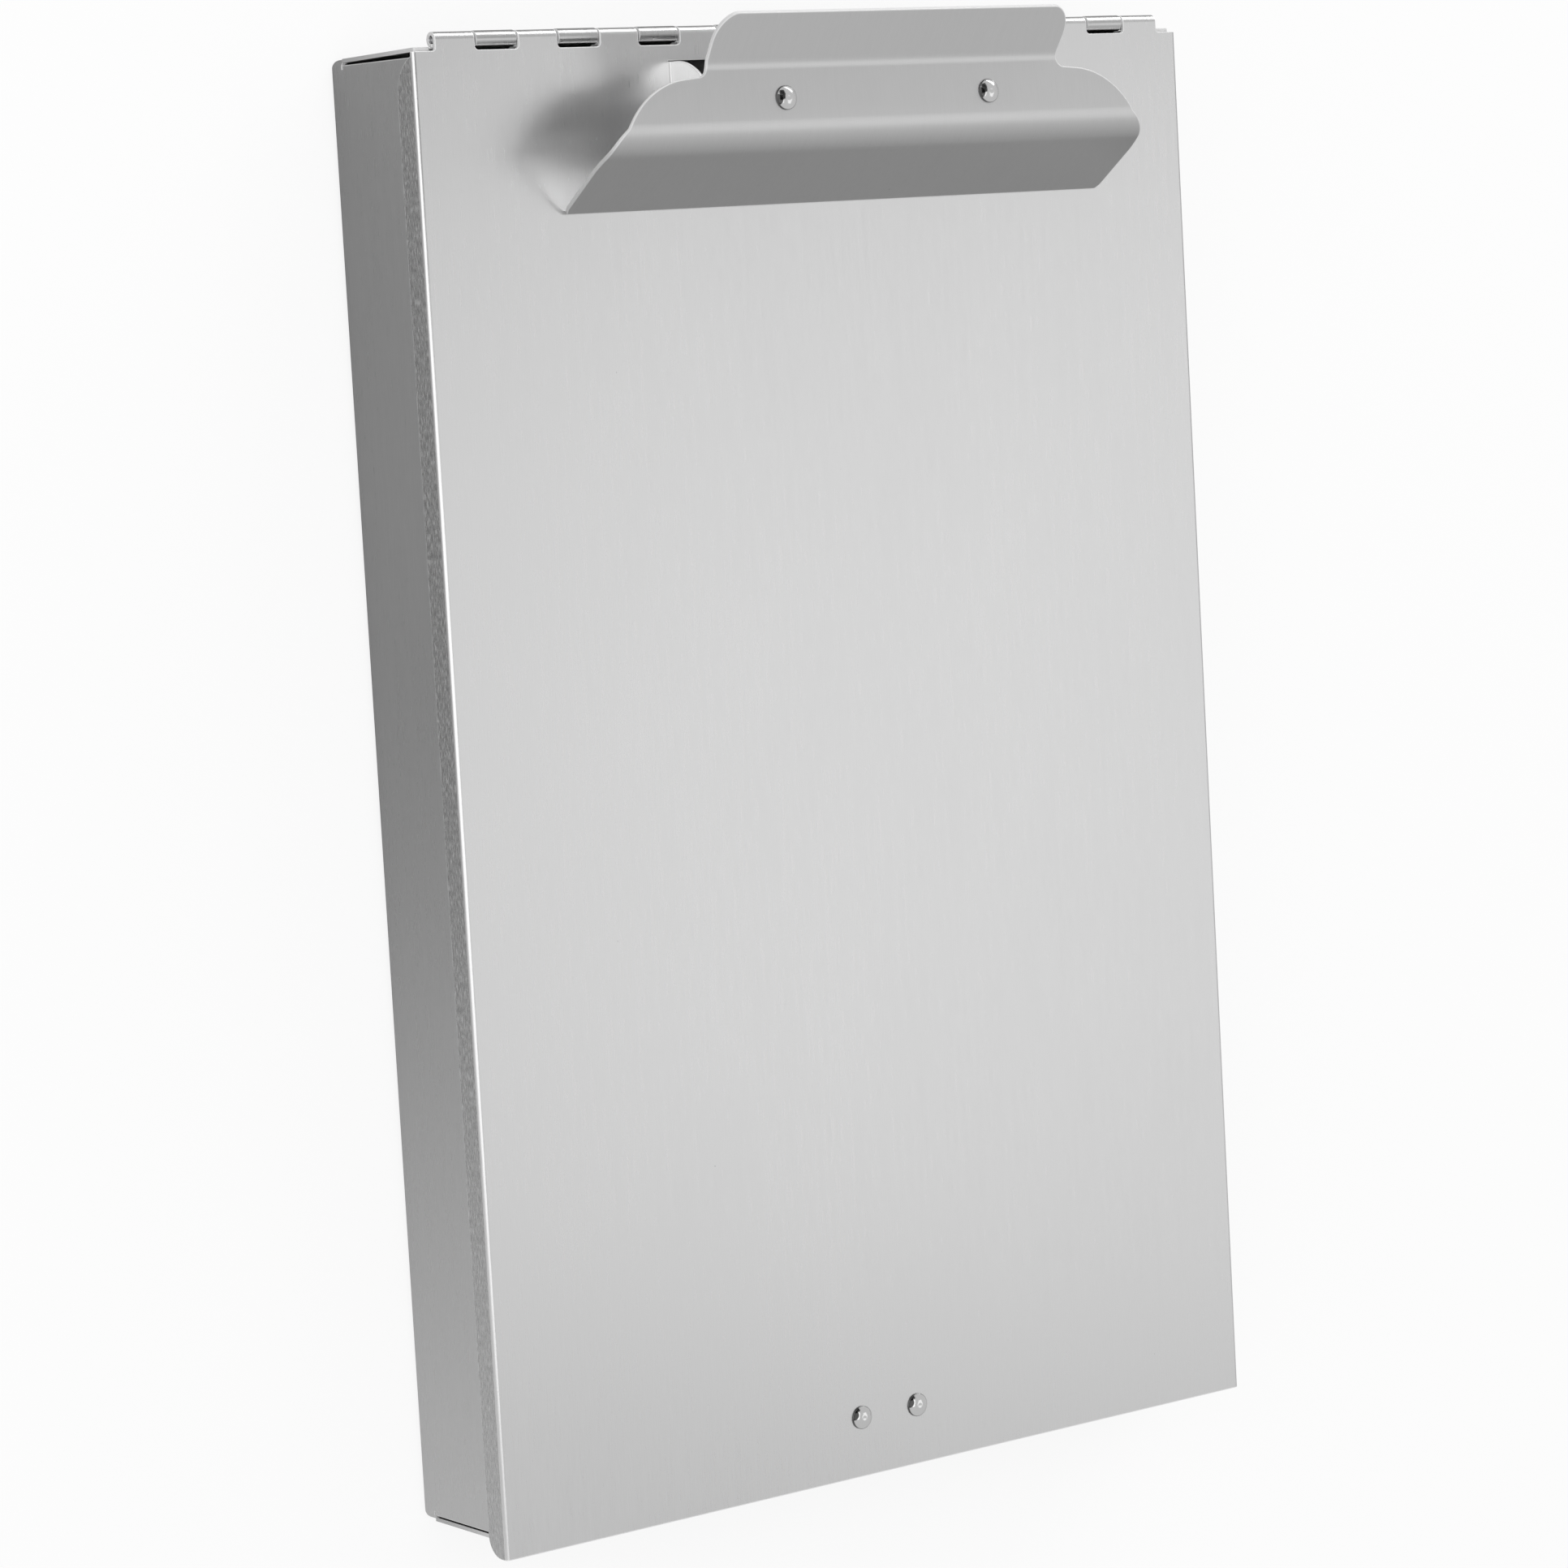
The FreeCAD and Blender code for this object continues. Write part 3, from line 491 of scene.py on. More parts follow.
def rim_rows(cut, sheet, rim):
    """Seven rows of points round a sheet's cut edges, and the quads between them.

    A row at the angle a lies rim (1 - sin a) inside the outline and rim (1 - cos a) below the outer
    face. The first row lies twice as far in. The two at 90 degrees are the ends of the edge's
    straight part.
    """
    angles = np.radians([0, 0, 45, 90, 90, 135, 180])
    insets = rim * (1 - np.sin(angles))
    insets[0] = 2 * rim
    upper = rim * (1 - np.cos(angles))
    lower = sheet - rim * (1 + np.cos(angles))
    depths = np.concatenate([upper[:4], lower[4:]])
    rows = len(angles)
    rim_points = SimpleNamespace(flat=[], outward=[], depth=[], angle=[], worn=[])
    quads, first = [], 0
    for points, _ in cut:
        move = inward(points)
        out = -move / np.linalg.norm(move, axis=1)[:, None]
        count = len(points)
        for row, (inset, down, turn) in enumerate(zip(insets, depths, angles)):
            rim_points.flat.append(points + move * inset)
            rim_points.outward.append(out)
            rim_points.depth.append(np.full(count, down))
            rim_points.angle.append(np.full(count, turn))
            rim_points.worn.append(np.full(count, 1.0 if 0 < row < rows - 1 else 0.0))
        index = np.arange(count)
        ahead = (index + 1) % count
        for low in first + count * np.arange(rows - 1):
            high = low + count
            quads.append(np.column_stack([low + index, high + index, high + ahead, low + ahead]))
        first += rows * count
    return rim_points, np.concatenate(quads), rows


def filled(inner, outline, sides, marks):
    """Triangles that fill closed lines: their corners, the triangles, and each corner's origin.

    The origin is the number of the point of the lines that a corner lies on, or -1 where two
    creases cross or a mark ends. The triangulation works in millimetres.
    """
    corners = inner * MM_PER_METRE
    if len(marks):
        sides = sides + [len(corners) + np.arange(2 * len(marks)).reshape(-1, 2)]
        points = np.concatenate([corners, np.reshape(marks, (-1, 2)) * MM_PER_METRE])
    else:
        points = corners
    merge_distance = 1e-6
    spots, _, faces, sources, _, _ = geometry.delaunay_2d_cdt(
        [Vector(point) for point in points.tolist()], np.concatenate(sides).tolist(), [], 0, merge_distance)
    spots = np.array([tuple(spot) for spot in spots])
    origin = np.array([source[0] if source and source[0] < len(corners) else -1 for source in sources])
    if len(set(origin[origin >= 0])) != len(corners):
        raise RuntimeError("two corners of the pattern's outline fall together")
    landed = np.empty(len(corners), int)
    landed[origin[origin >= 0]] = np.nonzero(origin >= 0)[0]
    faces = kept_faces(spots, np.array(faces), landed[outline])
    return spots / MM_PER_METRE, faces, origin


def crease_sides(inner, labels, creases):
    """Each crease's stretches on the sheet, as pairs of the points where it crosses the outline."""
    sides = []
    for index, (axis, _, _, _) in enumerate(creases):
        on = np.nonzero(labels == index)[0]
        on = on[np.argsort(inner[on, 1 - axis])]
        if len(on) % 2:
            raise RuntimeError(f"crease {index} leaves the sheet an odd number of times")
        sides.append(on.reshape(-1, 2))
    return sides


def everywhere(x, y):
    """A zone that covers the whole pattern."""
    return np.full(x.shape, True)


def cut_sheet(loops, creases, zones, base_z, side, sheet, rim=0.00014, marks=()):
    """A folded sheet as one closed mesh: both faces and rounded cut edges all round.

    The flat pattern's outlines get their rows of points round the sheet's edge. The faces between
    the innermost rows are triangles that share their corners with them. Every crease, and every
    line in marks, is a line of theirs, with a corner where two of them cross. Then the pattern is
    folded, and a point goes its depth below the outer face. Its normal is cos a times the face's
    plus sin a times the outward direction, where a is its row's angle.
    """
    cut = [crossed(loop, creases) for loop in loops]
    edge, quads, rows = rim_rows(cut, sheet, rim)
    sizes = [len(points) for points, _ in cut]
    offsets = rows * np.cumsum([0] + sizes)
    top = np.concatenate([offset + np.arange(size) for size, offset in zip(sizes, offsets)])
    bottom = np.concatenate([offset + (rows - 1) * size + np.arange(size)
                             for size, offset in zip(sizes, offsets)])
    firsts = np.cumsum([0] + sizes)
    ends = np.concatenate([first + (np.arange(size) + 1) % size for size, first in zip(sizes, firsts)])
    outline = np.column_stack([np.arange(len(top)), ends])
    labels = np.concatenate([label for _, label in cut])
    inner = np.concatenate(edge.flat)[top]
    sides = [outline] + crease_sides(inner, labels, creases)
    spots, faces, origin = filled(inner, outline, sides, marks)
    fresh = np.nonzero(origin < 0)[0]
    fresh = fresh[np.isin(fresh, faces)]
    new = len(fresh)
    count = rows * len(top)
    upper, lower = np.zeros(len(spots), int), np.zeros(len(spots), int)
    upper[origin >= 0], lower[origin >= 0] = top[origin[origin >= 0]], bottom[origin[origin >= 0]]
    upper[fresh] = count + np.arange(new)
    lower[fresh] = count + new + np.arange(new)
    flat = np.concatenate(edge.flat + [spots[fresh]] * 2)
    outward = np.concatenate(edge.outward + [np.tile([1.0, 0.0], (2 * new, 1))])
    depth = np.concatenate(edge.depth + [np.repeat([0.0, sheet], new)])[:, None]
    angle = np.concatenate(edge.angle + [np.repeat([0.0, math.pi], new)])[:, None]
    worn = np.concatenate(edge.worn + [np.zeros(2 * new)])
    triangles = np.concatenate([upper[faces], lower[faces[:, ::-1]]])
    if side < 0:
        quads, triangles = quads[:, ::-1], triangles[:, ::-1]
    place, normal, along_x, along_y = fold(flat, zones, base_z, side)
    place = place - normal * depth
    outward = outward[:, :1] * along_x + outward[:, 1:] * along_y
    shown = np.cos(angle) * normal + np.sin(angle) * outward
    return place, quads.tolist() + triangles.tolist(), shown, flat, worn.astype(np.float32)


def ringed(place, shown, flat, segments):
    """A closed mesh of rings of points between two poles, which are the first and the last point."""
    count = len(place) - 2
    grid = 1 + np.arange(count).reshape(-1, segments)
    ahead = np.roll(grid, -1, axis=1)
    quads = np.stack([grid[:-1], ahead[:-1], ahead[1:], grid[1:]], axis=-1).reshape(-1, 4)
    low = np.column_stack([np.zeros(segments, int), ahead[0], grid[0]])
    high = np.column_stack([np.full(segments, count + 1), grid[-1], ahead[-1]])
    faces = quads.tolist() + low.tolist() + high.tolist()
    return place, faces, shown, flat, np.zeros(len(place), np.float32)


def lathed(profile, segments):
    """A round part: its outline (radius, height) carried round z, with one point at each pole.

    A point of the outline goes to (r cos a, r sin a, h), and its normal is the outline's own,
    turned with it.
    """
    profile = np.asarray(profile, float)
    step = np.gradient(profile, axis=0)
    step /= np.linalg.norm(step, axis=1)[:, None]
    angle = 2 * math.pi * np.arange(segments) / segments
    inner = profile[1:-1]

    def carried(line):
        across, up = line[:, :1], np.repeat(line[:, 1:], segments, 1)
        return np.stack([across * np.cos(angle), across * np.sin(angle), up], axis=-1).reshape(-1, 3)

    facing = np.column_stack([step[1:-1, 1], -step[1:-1, 0]])
    place = np.concatenate([[[0, 0, profile[0, 1]]], carried(inner), [[0, 0, profile[-1, 1]]]])
    shown = np.concatenate([[[0, 0, -1]], carried(facing), [[0, 0, 1]]])
    spans = np.linalg.norm(np.diff(inner, axis=0, append=profile[-1:]), axis=1)
    reach = np.cumsum(spans[::-1])[::-1]
    girth = np.tile(angle * inner[:, 0].max(), len(inner))
    flat = np.concatenate([[[0, reach[0]]], np.column_stack([girth, np.repeat(reach, segments)]), [[0, 0]]])
    return ringed(place, shown, flat, segments)


def wire_along(path, radius, segments=16):
    """A round wire along a path, with domed ends.

    A point is path + radius s (cos a N + sin a B), where N is the path's direction crossed with x
    and B completes the frame. At the ends s falls to 0 as the centre moves on by radius cos.
    """
    ahead = np.gradient(path, axis=0)
    ahead /= np.linalg.norm(ahead, axis=1)[:, None]
    dome = np.radians([0, 30, 60, 90])
    rows = len(dome)
    first = path[0] - ahead[0] * radius * np.cos(dome[:, None])
    last = path[-1] + ahead[-1] * radius * np.cos(dome[::-1, None])
    centre = np.concatenate([first, path[1:-1], last])
    scale = np.concatenate([np.sin(dome), np.ones(len(path) - 2), np.sin(dome[::-1])])
    ahead = np.concatenate([np.repeat(ahead[:1], rows, 0), ahead[1:-1], np.repeat(ahead[-1:], rows, 0)])
    one = np.cross(ahead, [1.0, 0.0, 0.0])
    one /= np.linalg.norm(one, axis=1)[:, None]
    two = np.cross(ahead, one)
    angle = 2 * math.pi * np.arange(segments) / segments
    out = one[:, None] * np.cos(angle)[None, :, None] + two[:, None] * np.sin(angle)[None, :, None]
    lift = np.zeros(len(centre))
    lift[:rows], lift[-rows:] = -np.cos(dome), np.cos(dome[::-1])
    shown = out * np.sqrt(1 - lift ** 2)[:, None, None] + (ahead * lift[:, None])[:, None]
    body = centre[:, None] + out * (radius * scale)[:, None, None]
    place = np.concatenate([centre[:1], body[1:-1].reshape(-1, 3), centre[-1:]])
    shown = np.concatenate([-ahead[:1], shown[1:-1].reshape(-1, 3), ahead[-1:]])
    length = np.cumsum(np.linalg.norm(np.diff(centre, axis=0, prepend=centre[:1]), axis=1))[1:-1]
    flat = np.column_stack([np.tile(angle * radius, len(length)), np.repeat(length, segments)])
    flat = np.concatenate([[[0, length[0]]], flat, [[0, length[-1]]]])
    return ringed(place, shown, flat, segments)


def moved(mesh, matrix):
    """A mesh carried by a rigid move."""
    place, faces, shown, flat, rim = mesh
    turn = np.array(matrix.to_3x3())
    shift = np.array(matrix.translation)
    return place @ turn.T + shift, faces, shown @ turn.T, flat, rim


def mirrored(mesh, x):
    """A mesh's mirror image in the upright plane at x, with its faces turned round again."""
    place, faces, shown, flat, rim = mesh
    place = place * [-1, 1, 1] + [2 * x, 0, 0]
    return place, [face[::-1] for face in faces], shown * [-1, 1, 1], flat, rim


def piece(name, mesh, material, node):
    """A finished piece in the scene: its mesh, normals, pattern map and rim mask, for one CAD node."""
    place, faces, shown, flat, rim = mesh
    data = bpy.data.meshes.new(name)
    data.from_pydata(place, [], faces)
    data.validate()
    data.shade_smooth()
    corners = np.empty(len(data.loops), np.int32)
    data.loops.foreach_get("vertex_index", corners)
    layer = data.uv_layers.new(name=PATTERN_MAP)
    layer.uv.foreach_set("vector", flat[corners].astype(np.float32).ravel())
    data.attributes.new(RIM, "FLOAT", "POINT").data.foreach_set("value", rim)
    data.normals_split_custom_set_from_vertices(shown / np.linalg.norm(shown, axis=1)[:, None])
    thing = placed(name, data, material)
    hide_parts(node)
    return thing


def placed(name, data, material=None):
    """An object in the scene that shows a mesh, or is a light or camera, at the origin."""
    if material:
        data.materials.append(material)
    thing = bpy.data.objects.new(name, data)
    bpy.context.scene.collection.objects.link(thing)
    return thing


def add_node(tree, kind, inputs=None, **settings):
    """A shader node of a kind, with its settings, its inputs fed by name or number."""
    node = tree.nodes.new("ShaderNode" + kind)
    for key, value in settings.items():
        setattr(node, key, value)
    feed(tree, node, inputs or {})
    return node


def feed(tree, node, inputs):
    """Link a node's inputs to sockets, or set them to plain values."""
    for key, value in inputs.items():
        if isinstance(value, bpy.types.NodeSocket):
            tree.links.new(value, node.inputs[key])
        else:
            node.inputs[key].default_value = value


def maths(tree, operation, *terms, clamp=False):
    """A Math node fed with sockets or plain numbers, and its output."""
    return add_node(tree, "Math", dict(enumerate(terms)), operation=operation, use_clamp=clamp).outputs[0]


def times_plus(tree, one, two, three, clamp=False):
    """One times two plus three."""
    return maths(tree, "MULTIPLY_ADD", one, two, three, clamp=clamp)


def smooth_step(tree, value, start, full, to=1.0):
    """A value that goes smoothly from 0 to another while its source goes from start to full."""
    inputs = {"Value": value, "From Min": start, "From Max": full, "To Max": to}
    return add_node(tree, "MapRange", inputs, interpolation_type="SMOOTHSTEP").outputs["Result"]


def tinted(tree, plain, level):
    """A plain colour times a level that varies."""
    return add_node(tree, "VectorMath", {0: plain, "Scale": level}, operation="SCALE").outputs[0]


def noise(tree, vector, scale, detail=2.0, rough=0.5):
    """A Noise Texture's value, on a vector stretched by a scale in x, y and z."""
    stretched = add_node(tree, "Mapping", {"Vector": vector, "Scale": scale}).outputs[0]
    inputs = {"Vector": stretched, "Scale": 1.0, "Detail": detail, "Roughness": rough}
    return add_node(tree, "TexNoise", inputs).outputs["Fac"]


def new_group(name, inputs, outputs):
    """An empty shader group with float or vector inputs and float or vector outputs."""
    group = bpy.data.node_groups.new(name, "ShaderNodeTree")
    for title, kind, value in inputs:
        socket = group.interface.new_socket(name=title, in_out="INPUT", socket_type=kind)
        if value is not None:
            socket.default_value = value
    for title, kind in outputs:
        group.interface.new_socket(name=title, in_out="OUTPUT", socket_type=kind)
    return group, group.nodes.new("NodeGroupInput").outputs, group.nodes.new("NodeGroupOutput")


def brushed_grain():
    """Group: streaks of a brushed sheet, along the pattern's second axis, as a value and a normal.

    Coarse mixes in short, broad streaks, as on sheet edges that a press has folded.
    """
    name = "Brushed Grain"
    if name in bpy.data.node_groups:
        return bpy.data.node_groups[name]
    group, given, result = new_group(
        name,
        [("Vector", "NodeSocketVector", None), ("Depth", "NodeSocketFloat", 0.2),
         ("Coarse", "NodeSocketFloat", 0.0)],
        [("Streaks", "NodeSocketFloat"), ("Normal", "NodeSocketVector")],
    )
    vector, coarse = given["Vector"], given["Coarse"]
    broad_share, fine_share, contrast = 0.35, 0.65, 2.2
    coarse_streaks, coarse_height, relief = 22.0, 2.0, 0.00002
    fine = noise(group, vector, (3600, 150, 1), detail=2.0, rough=0.6)
    broad = noise(group, vector, (700, 26, 1), detail=3.0, rough=0.6)
    short = noise(group, vector, (2600, 520, 1), detail=3.0, rough=0.7)
    mixed = times_plus(group, broad, broad_share, maths(group, "MULTIPLY", fine, fine_share))
    spread = times_plus(group, maths(group, "SUBTRACT", mixed, 0.5), contrast, 0.5)
    stronger = maths(group, "MULTIPLY", coarse, coarse_streaks)
    extra = maths(group, "MULTIPLY", maths(group, "SUBTRACT", short, 0.5), stronger)
    height = times_plus(group, short, maths(group, "MULTIPLY", coarse, coarse_height), fine)
    bump = add_node(group, "Bump", {"Distance": relief, "Strength": given["Depth"], "Height": height})
    feed(group, result, {"Streaks": maths(group, "ADD", spread, extra), "Normal": bump.outputs["Normal"]})
    return group


def handling():
    """Group: faint cloudy handling marks and a few specks of dust, as two masks."""
    name = "Handling"
    if name in bpy.data.node_groups:
        return bpy.data.node_groups[name]
    group, given, result = new_group(
        name, [("Vector", "NodeSocketVector", None)],
        [("Clouds", "NodeSocketFloat"), ("Specks", "NodeSocketFloat")],
    )
    cells_per_metre, speck_size, kept_above = 110.0, 0.018, 0.62
    clouds = noise(group, given["Vector"], (14, 9, 14), detail=3.0, rough=0.55)
    cells = add_node(group, "TexVoronoi", {"Scale": cells_per_metre, "Vector": given["Vector"]})
    dot = maths(group, "LESS_THAN", cells.outputs["Distance"], speck_size)
    rare = noise(group, given["Vector"], (60, 60, 60), detail=1.0)
    speck = maths(group, "MULTIPLY", dot, maths(group, "GREATER_THAN", rare, kept_above))
    feed(group, result, {"Clouds": clouds, "Specks": speck})
    return group


def shade_and_grain_level(tree, pattern, grain, axis, start, full, darker, coarser):
    """Level of a colour in a zone darkened by painted shade, where pressing also makes the grain coarser.

    The zone goes from start to full on an axis of the pattern, on both sides of its middle.
    """
    along = add_node(tree, "SeparateXYZ", {0: pattern}).outputs[axis]
    zone = smooth_step(tree, maths(tree, "ABSOLUTE", along), start, full)
    feed(tree, grain, {"Coarse": maths(tree, "MULTIPLY", zone, coarser)})
    return times_plus(tree, zone, -darker, 1.0)


def painted_reflection_level(tree, level, painted_reflection):
    """A painted reflection of the camera: a level that is lower where a polished face looks at the viewer."""
    starts, full = 0.05, 0.035
    facing = add_node(tree, "LayerWeight").outputs["Facing"]
    towards = smooth_step(tree, facing, starts, full)
    return maths(tree, "MULTIPLY", level, times_plus(tree, towards, -painted_reflection, 1.0))


def metal(name, base, roughness, brushing, depth, streak=0.05, cloud=0.04, shade_and_grain_zone=None, painted_reflection=0.0):
    """A metal: streaks and clouds vary its colour and roughness, and its cut edges are paler and duller.

    depth is the grain's, streak and cloud are how far they vary the colour. The zone holds the values of
    painted shade and coarser grain, and the reflection share darkens a polished face where it faces the
    camera, as a painted reflection.
    """
    if name in bpy.data.materials:
        return bpy.data.materials[name]
    edge_paler, edge_duller, edge_less_metal, speck_darker = 0.22, 0.12, 0.75, 0.3
    cloud_roughness, streak_roughness = 0.08, 0.10
    material = bpy.data.materials.new(name)
    material.use_nodes = True
    tree = material.node_tree
    pattern = add_node(tree, "UVMap", uv_map=PATTERN_MAP).outputs[0]
    tangent = add_node(tree, "Tangent", direction_type="UV_MAP", uv_map=PATTERN_MAP).outputs[0]
    grain = add_node(tree, "Group", {"Depth": depth, "Vector": pattern}, node_tree=brushed_grain())
    level = 1.0
    if shade_and_grain_zone:
        level = shade_and_grain_level(tree, pattern, grain, **shade_and_grain_zone)
    if painted_reflection:
        level = painted_reflection_level(tree, level, painted_reflection)
    where = add_node(tree, "TexCoord").outputs["Object"]
    marks = add_node(tree, "Group", {"Vector": where}, node_tree=handling())
    rim = add_node(tree, "Attribute", attribute_name=RIM).outputs["Fac"]
    centred = maths(tree, "SUBTRACT", grain.outputs["Streaks"], 0.5)
    cloudy = maths(tree, "SUBTRACT", marks.outputs["Clouds"], 0.5)
    level = times_plus(tree, centred, streak, times_plus(tree, cloudy, cloud, level))
    level = times_plus(tree, marks.outputs["Specks"], -speck_darker, level)
    level = times_plus(tree, rim, edge_paler, level)
    rough = times_plus(tree, cloudy, cloud_roughness, times_plus(tree, centred, streak_roughness, roughness))
    feed(tree, tree.nodes["Principled BSDF"], {
        "Base Color": tinted(tree, base, level),
        "Metallic": times_plus(tree, rim, -edge_less_metal, 1.0),
        "Roughness": times_plus(tree, rim, edge_duller, rough, clamp=True),
        "Anisotropic": brushing,
        "Tangent": tangent,
        "Normal": grain.outputs["Normal"],
    })
    return material


def tray_pattern(scene):
    """Lengths on the tray's flat pattern, out from its middle, and the runs and bends of its walls.

    The hinge wall leans out and stops below the rim. Each knuckle swings out of it, comes back
    upright and is rolled round the pin. The free wall's lip is bent in at the rim.
    """
    tray, hinge, p = scene.tray_sizes, scene.hinge_sizes, places(scene)
    r = tray.bend_radius
    t = SimpleNamespace(quarter=r * QUARTER_TURN, upright=p.rim_z - r)
    t.bend_x, t.bend_y = p.half_tray - r, p.end_y - r
    t.drawn = t.quarter + tray.drawn - r
    t.clear = t.drawn + tray.slit
    t.middle = (t.drawn + t.clear) / 2
    t.reach = p.knuckles[-1] + hinge.pitch / 2
    t.lip, t.lip_slit, lip_slit_depth = tray.lip_width / 2, 0.0004, 0.003
    t.slit_y = t.bend_y + t.quarter + t.upright - lip_slit_depth

    lip_turn = tray.lip_bend * QUARTER_TURN
    lip_run = p.lip_y + p.end_y - tray.lip_bend
    t.lip_plan = [(t.quarter, QUARTER_TURN), (t.upright - tray.lip_bend, 0.0), (lip_turn, QUARTER_TURN),
                  (lip_run, 0.0)]
    t.free_y = t.bend_y + (t.quarter + t.upright)
    t.lip_y = t.bend_y + (t.quarter + t.upright - tray.lip_bend + lip_turn + lip_run)

    t.lean = math.atan(tray.lean / p.rim_z)
    up_turn = QUARTER_TURN - t.lean
    root = t.quarter * up_turn / QUARTER_TURN
    low_z = p.rim_z - tray.drop
    wall_run = t.upright / math.cos(t.lean)
    low_run = (low_z - r) / math.cos(t.lean)
    swing, bend = math.radians(24), 0.0015
    bore = hinge.eye_radius - tray.sheet
    shift = p.hinge_y - bore - (p.end_y + tray.lean * low_z / p.rim_z)
    step = (shift - bend * (math.cos(t.lean) + 1 - 2 * math.cos(swing))) / math.sin(swing)
    climbed = bend * (2 * math.sin(swing) - math.sin(t.lean)) + step * math.cos(swing)
    rest = p.hinge_z - low_z - climbed
    t.side_plan = [(t.quarter, QUARTER_TURN), (t.upright, 0.0)]
    t.outer_plan = [(root, up_turn), (wall_run, 0.0)]
    t.hinge_plan = [(root, up_turn), (low_run, 0.0), (bend * (swing - t.lean), t.lean - swing), (step, 0.0),
                    (bend * swing, swing), (rest, 0.0), (bore * hinge.eye_turn, -hinge.eye_turn)]
    t.low_top, t.rim_top = t.bend_y + root + low_run, t.bend_y + root + wall_run
    t.eye_top = t.bend_y + sum(span for span, _ in t.hinge_plan)
    return t


def tray_outline(scene, t):
    """Outline of the opened-out tray, with a nick at each corner where a wall's slit ends."""
    tray, hinge, p = scene.tray_sizes, scene.hinge_sizes, places(scene)
    nick, rim_round, wall_round = 0.00025, 0.0012, 0.0008
    step_round, root_round, lip_round = 0.0006, 0.0004, 0.002
    wall_y = p.end_y - tray.sheet - tray.slit
    inner, outer = t.bend_x + t.drawn, t.bend_x + t.clear
    meet = [(inner, t.bend_y + t.drawn, 0)]
    side = [(inner, t.bend_y - nick, 0), (outer, t.bend_y - nick, 0), (outer, wall_y, 0),
            (t.bend_x + t.quarter + t.upright, wall_y, rim_round)]
    wall = [(t.bend_x - nick, t.bend_y + t.drawn, 0), (t.bend_x - nick, t.bend_y + t.clear, 0),
            (p.half_tray, t.bend_y + t.clear, 0)]
    lowered = hinge.roll_width / 2 + hinge.side_gap
    shoulder = wall + [(p.half_tray, t.rim_top, wall_round), (lowered, t.rim_top, wall_round),
                       (lowered, t.low_top, step_round)]
    knuckles = []
    for x in p.knuckles[::-1]:
        right, left = x + hinge.eye_width / 2, x - hinge.eye_width / 2
        knuckles += [(right, t.low_top, root_round), (right, t.eye_top, 0), (left, t.eye_top, 0),
                     (left, t.low_top, root_round)]
    free = wall + [(p.half_tray, t.free_y, wall_round), (t.lip + t.lip_slit, t.free_y, root_round),
                   (t.lip + t.lip_slit, t.slit_y, 0), (t.lip, t.slit_y, 0), (t.lip, t.lip_y, lip_round)]
    corners = flipped(meet + side, y=-1) + side[::-1] + meet + shoulder + knuckles
    corners += flipped(shoulder[::-1] + meet + side, x=-1)
    corners += flipped(side[::-1] + meet + free, x=-1, y=-1) + flipped(free[::-1], y=-1)
    return soft_line(corners, steps=5)


def tray_creases(t):
    """Lines across the tray's pattern where its bends begin, are divided and end."""
    creases = []
    corner_shares = (0.25, 0.6)
    corner_lines = [t.quarter + share * (t.drawn - t.quarter) for share in corner_shares]
    side_reach, end_reach = t.bend_y + t.middle, t.bend_x + t.middle
    for length in arc_lengths(t.side_plan, [6, 0]) + corner_lines:
        creases += [(0, side * (t.bend_x + length), -side_reach, side_reach) for side in (1, -1)]
        creases.append((1, -t.bend_y - length, -end_reach, end_reach))
    lip_reach = t.lip + t.lip_slit / 2
    for length in arc_lengths(t.lip_plan, [0, 0, 8, 0]):
        if length > 0:
            creases.append((1, -t.bend_y - length, -lip_reach, lip_reach))
    for length in arc_lengths(t.outer_plan, [6, 0]) + corner_lines:
        creases.append((1, t.bend_y + length, -end_reach, end_reach))
    off_corner = 2e-6
    # The knuckles' last division would lie in their rounded edge.
    for length in arc_lengths(t.hinge_plan, [0, 0, 5, 0, 5, 0, 30])[1:-2]:
        creases.append((1, t.bend_y + length + off_corner, -t.reach, t.reach))
    return creases


def tray_zones(scene, t):
    """How each part of the tray's pattern is folded, and a mark along each drawn corner's bisector."""
    zones, marks = [], []
    short = 0.0005
    for sign in (np.array([x, y]) for x in (1.0, -1.0) for y in (1.0, -1.0)):
        start = sign * [t.bend_x, t.bend_y]

        def in_corner(x, y, sign=sign):
            past_x, past_y = sign[0] * x, sign[1] * y
            return ((past_x > t.bend_x) & (past_y > t.bend_y)
                    & (past_x < t.bend_x + t.middle) & (past_y < t.bend_y + t.middle))

        lean = t.lean if sign[1] > 0 else 0.0
        zones.append((in_corner, None, start, sign, scene.tray_sizes.bend_radius, lean))
        marks.append((start, start + sign * (t.drawn - short)))
    lip_reach = t.lip + t.lip_slit / 2

    def on_side(x, y):
        return (x > t.bend_x) & ((abs(y) <= t.bend_y) | (x > t.bend_x + t.middle))

    def on_end(x, y):
        return (y > t.bend_y) & ((abs(x) <= t.bend_x) | (y > t.bend_y + t.middle))

    zones += [
        (on_side, 0, t.bend_x, 1, 0.0, t.side_plan),
        (lambda x, y: on_side(-x, y), 0, -t.bend_x, -1, 0.0, t.side_plan),
        (lambda x, y: on_end(x, -y) & ((abs(x) > lip_reach) | (y > -t.slit_y)), 1, -t.bend_y, -1, 0.0,
         t.side_plan),
        (lambda x, y: (y <= -t.slit_y) & (abs(x) <= lip_reach), 1, -t.bend_y, -1, 0.0, t.lip_plan),
        (lambda x, y: on_end(x, y) & (abs(x) > t.reach), 1, t.bend_y, 1, 0.0, t.outer_plan),
        (lambda x, y: (y > t.bend_y) & (abs(x) <= t.reach), 1, t.bend_y, 1, 0.0, t.hinge_plan),
    ]
    return zones, marks


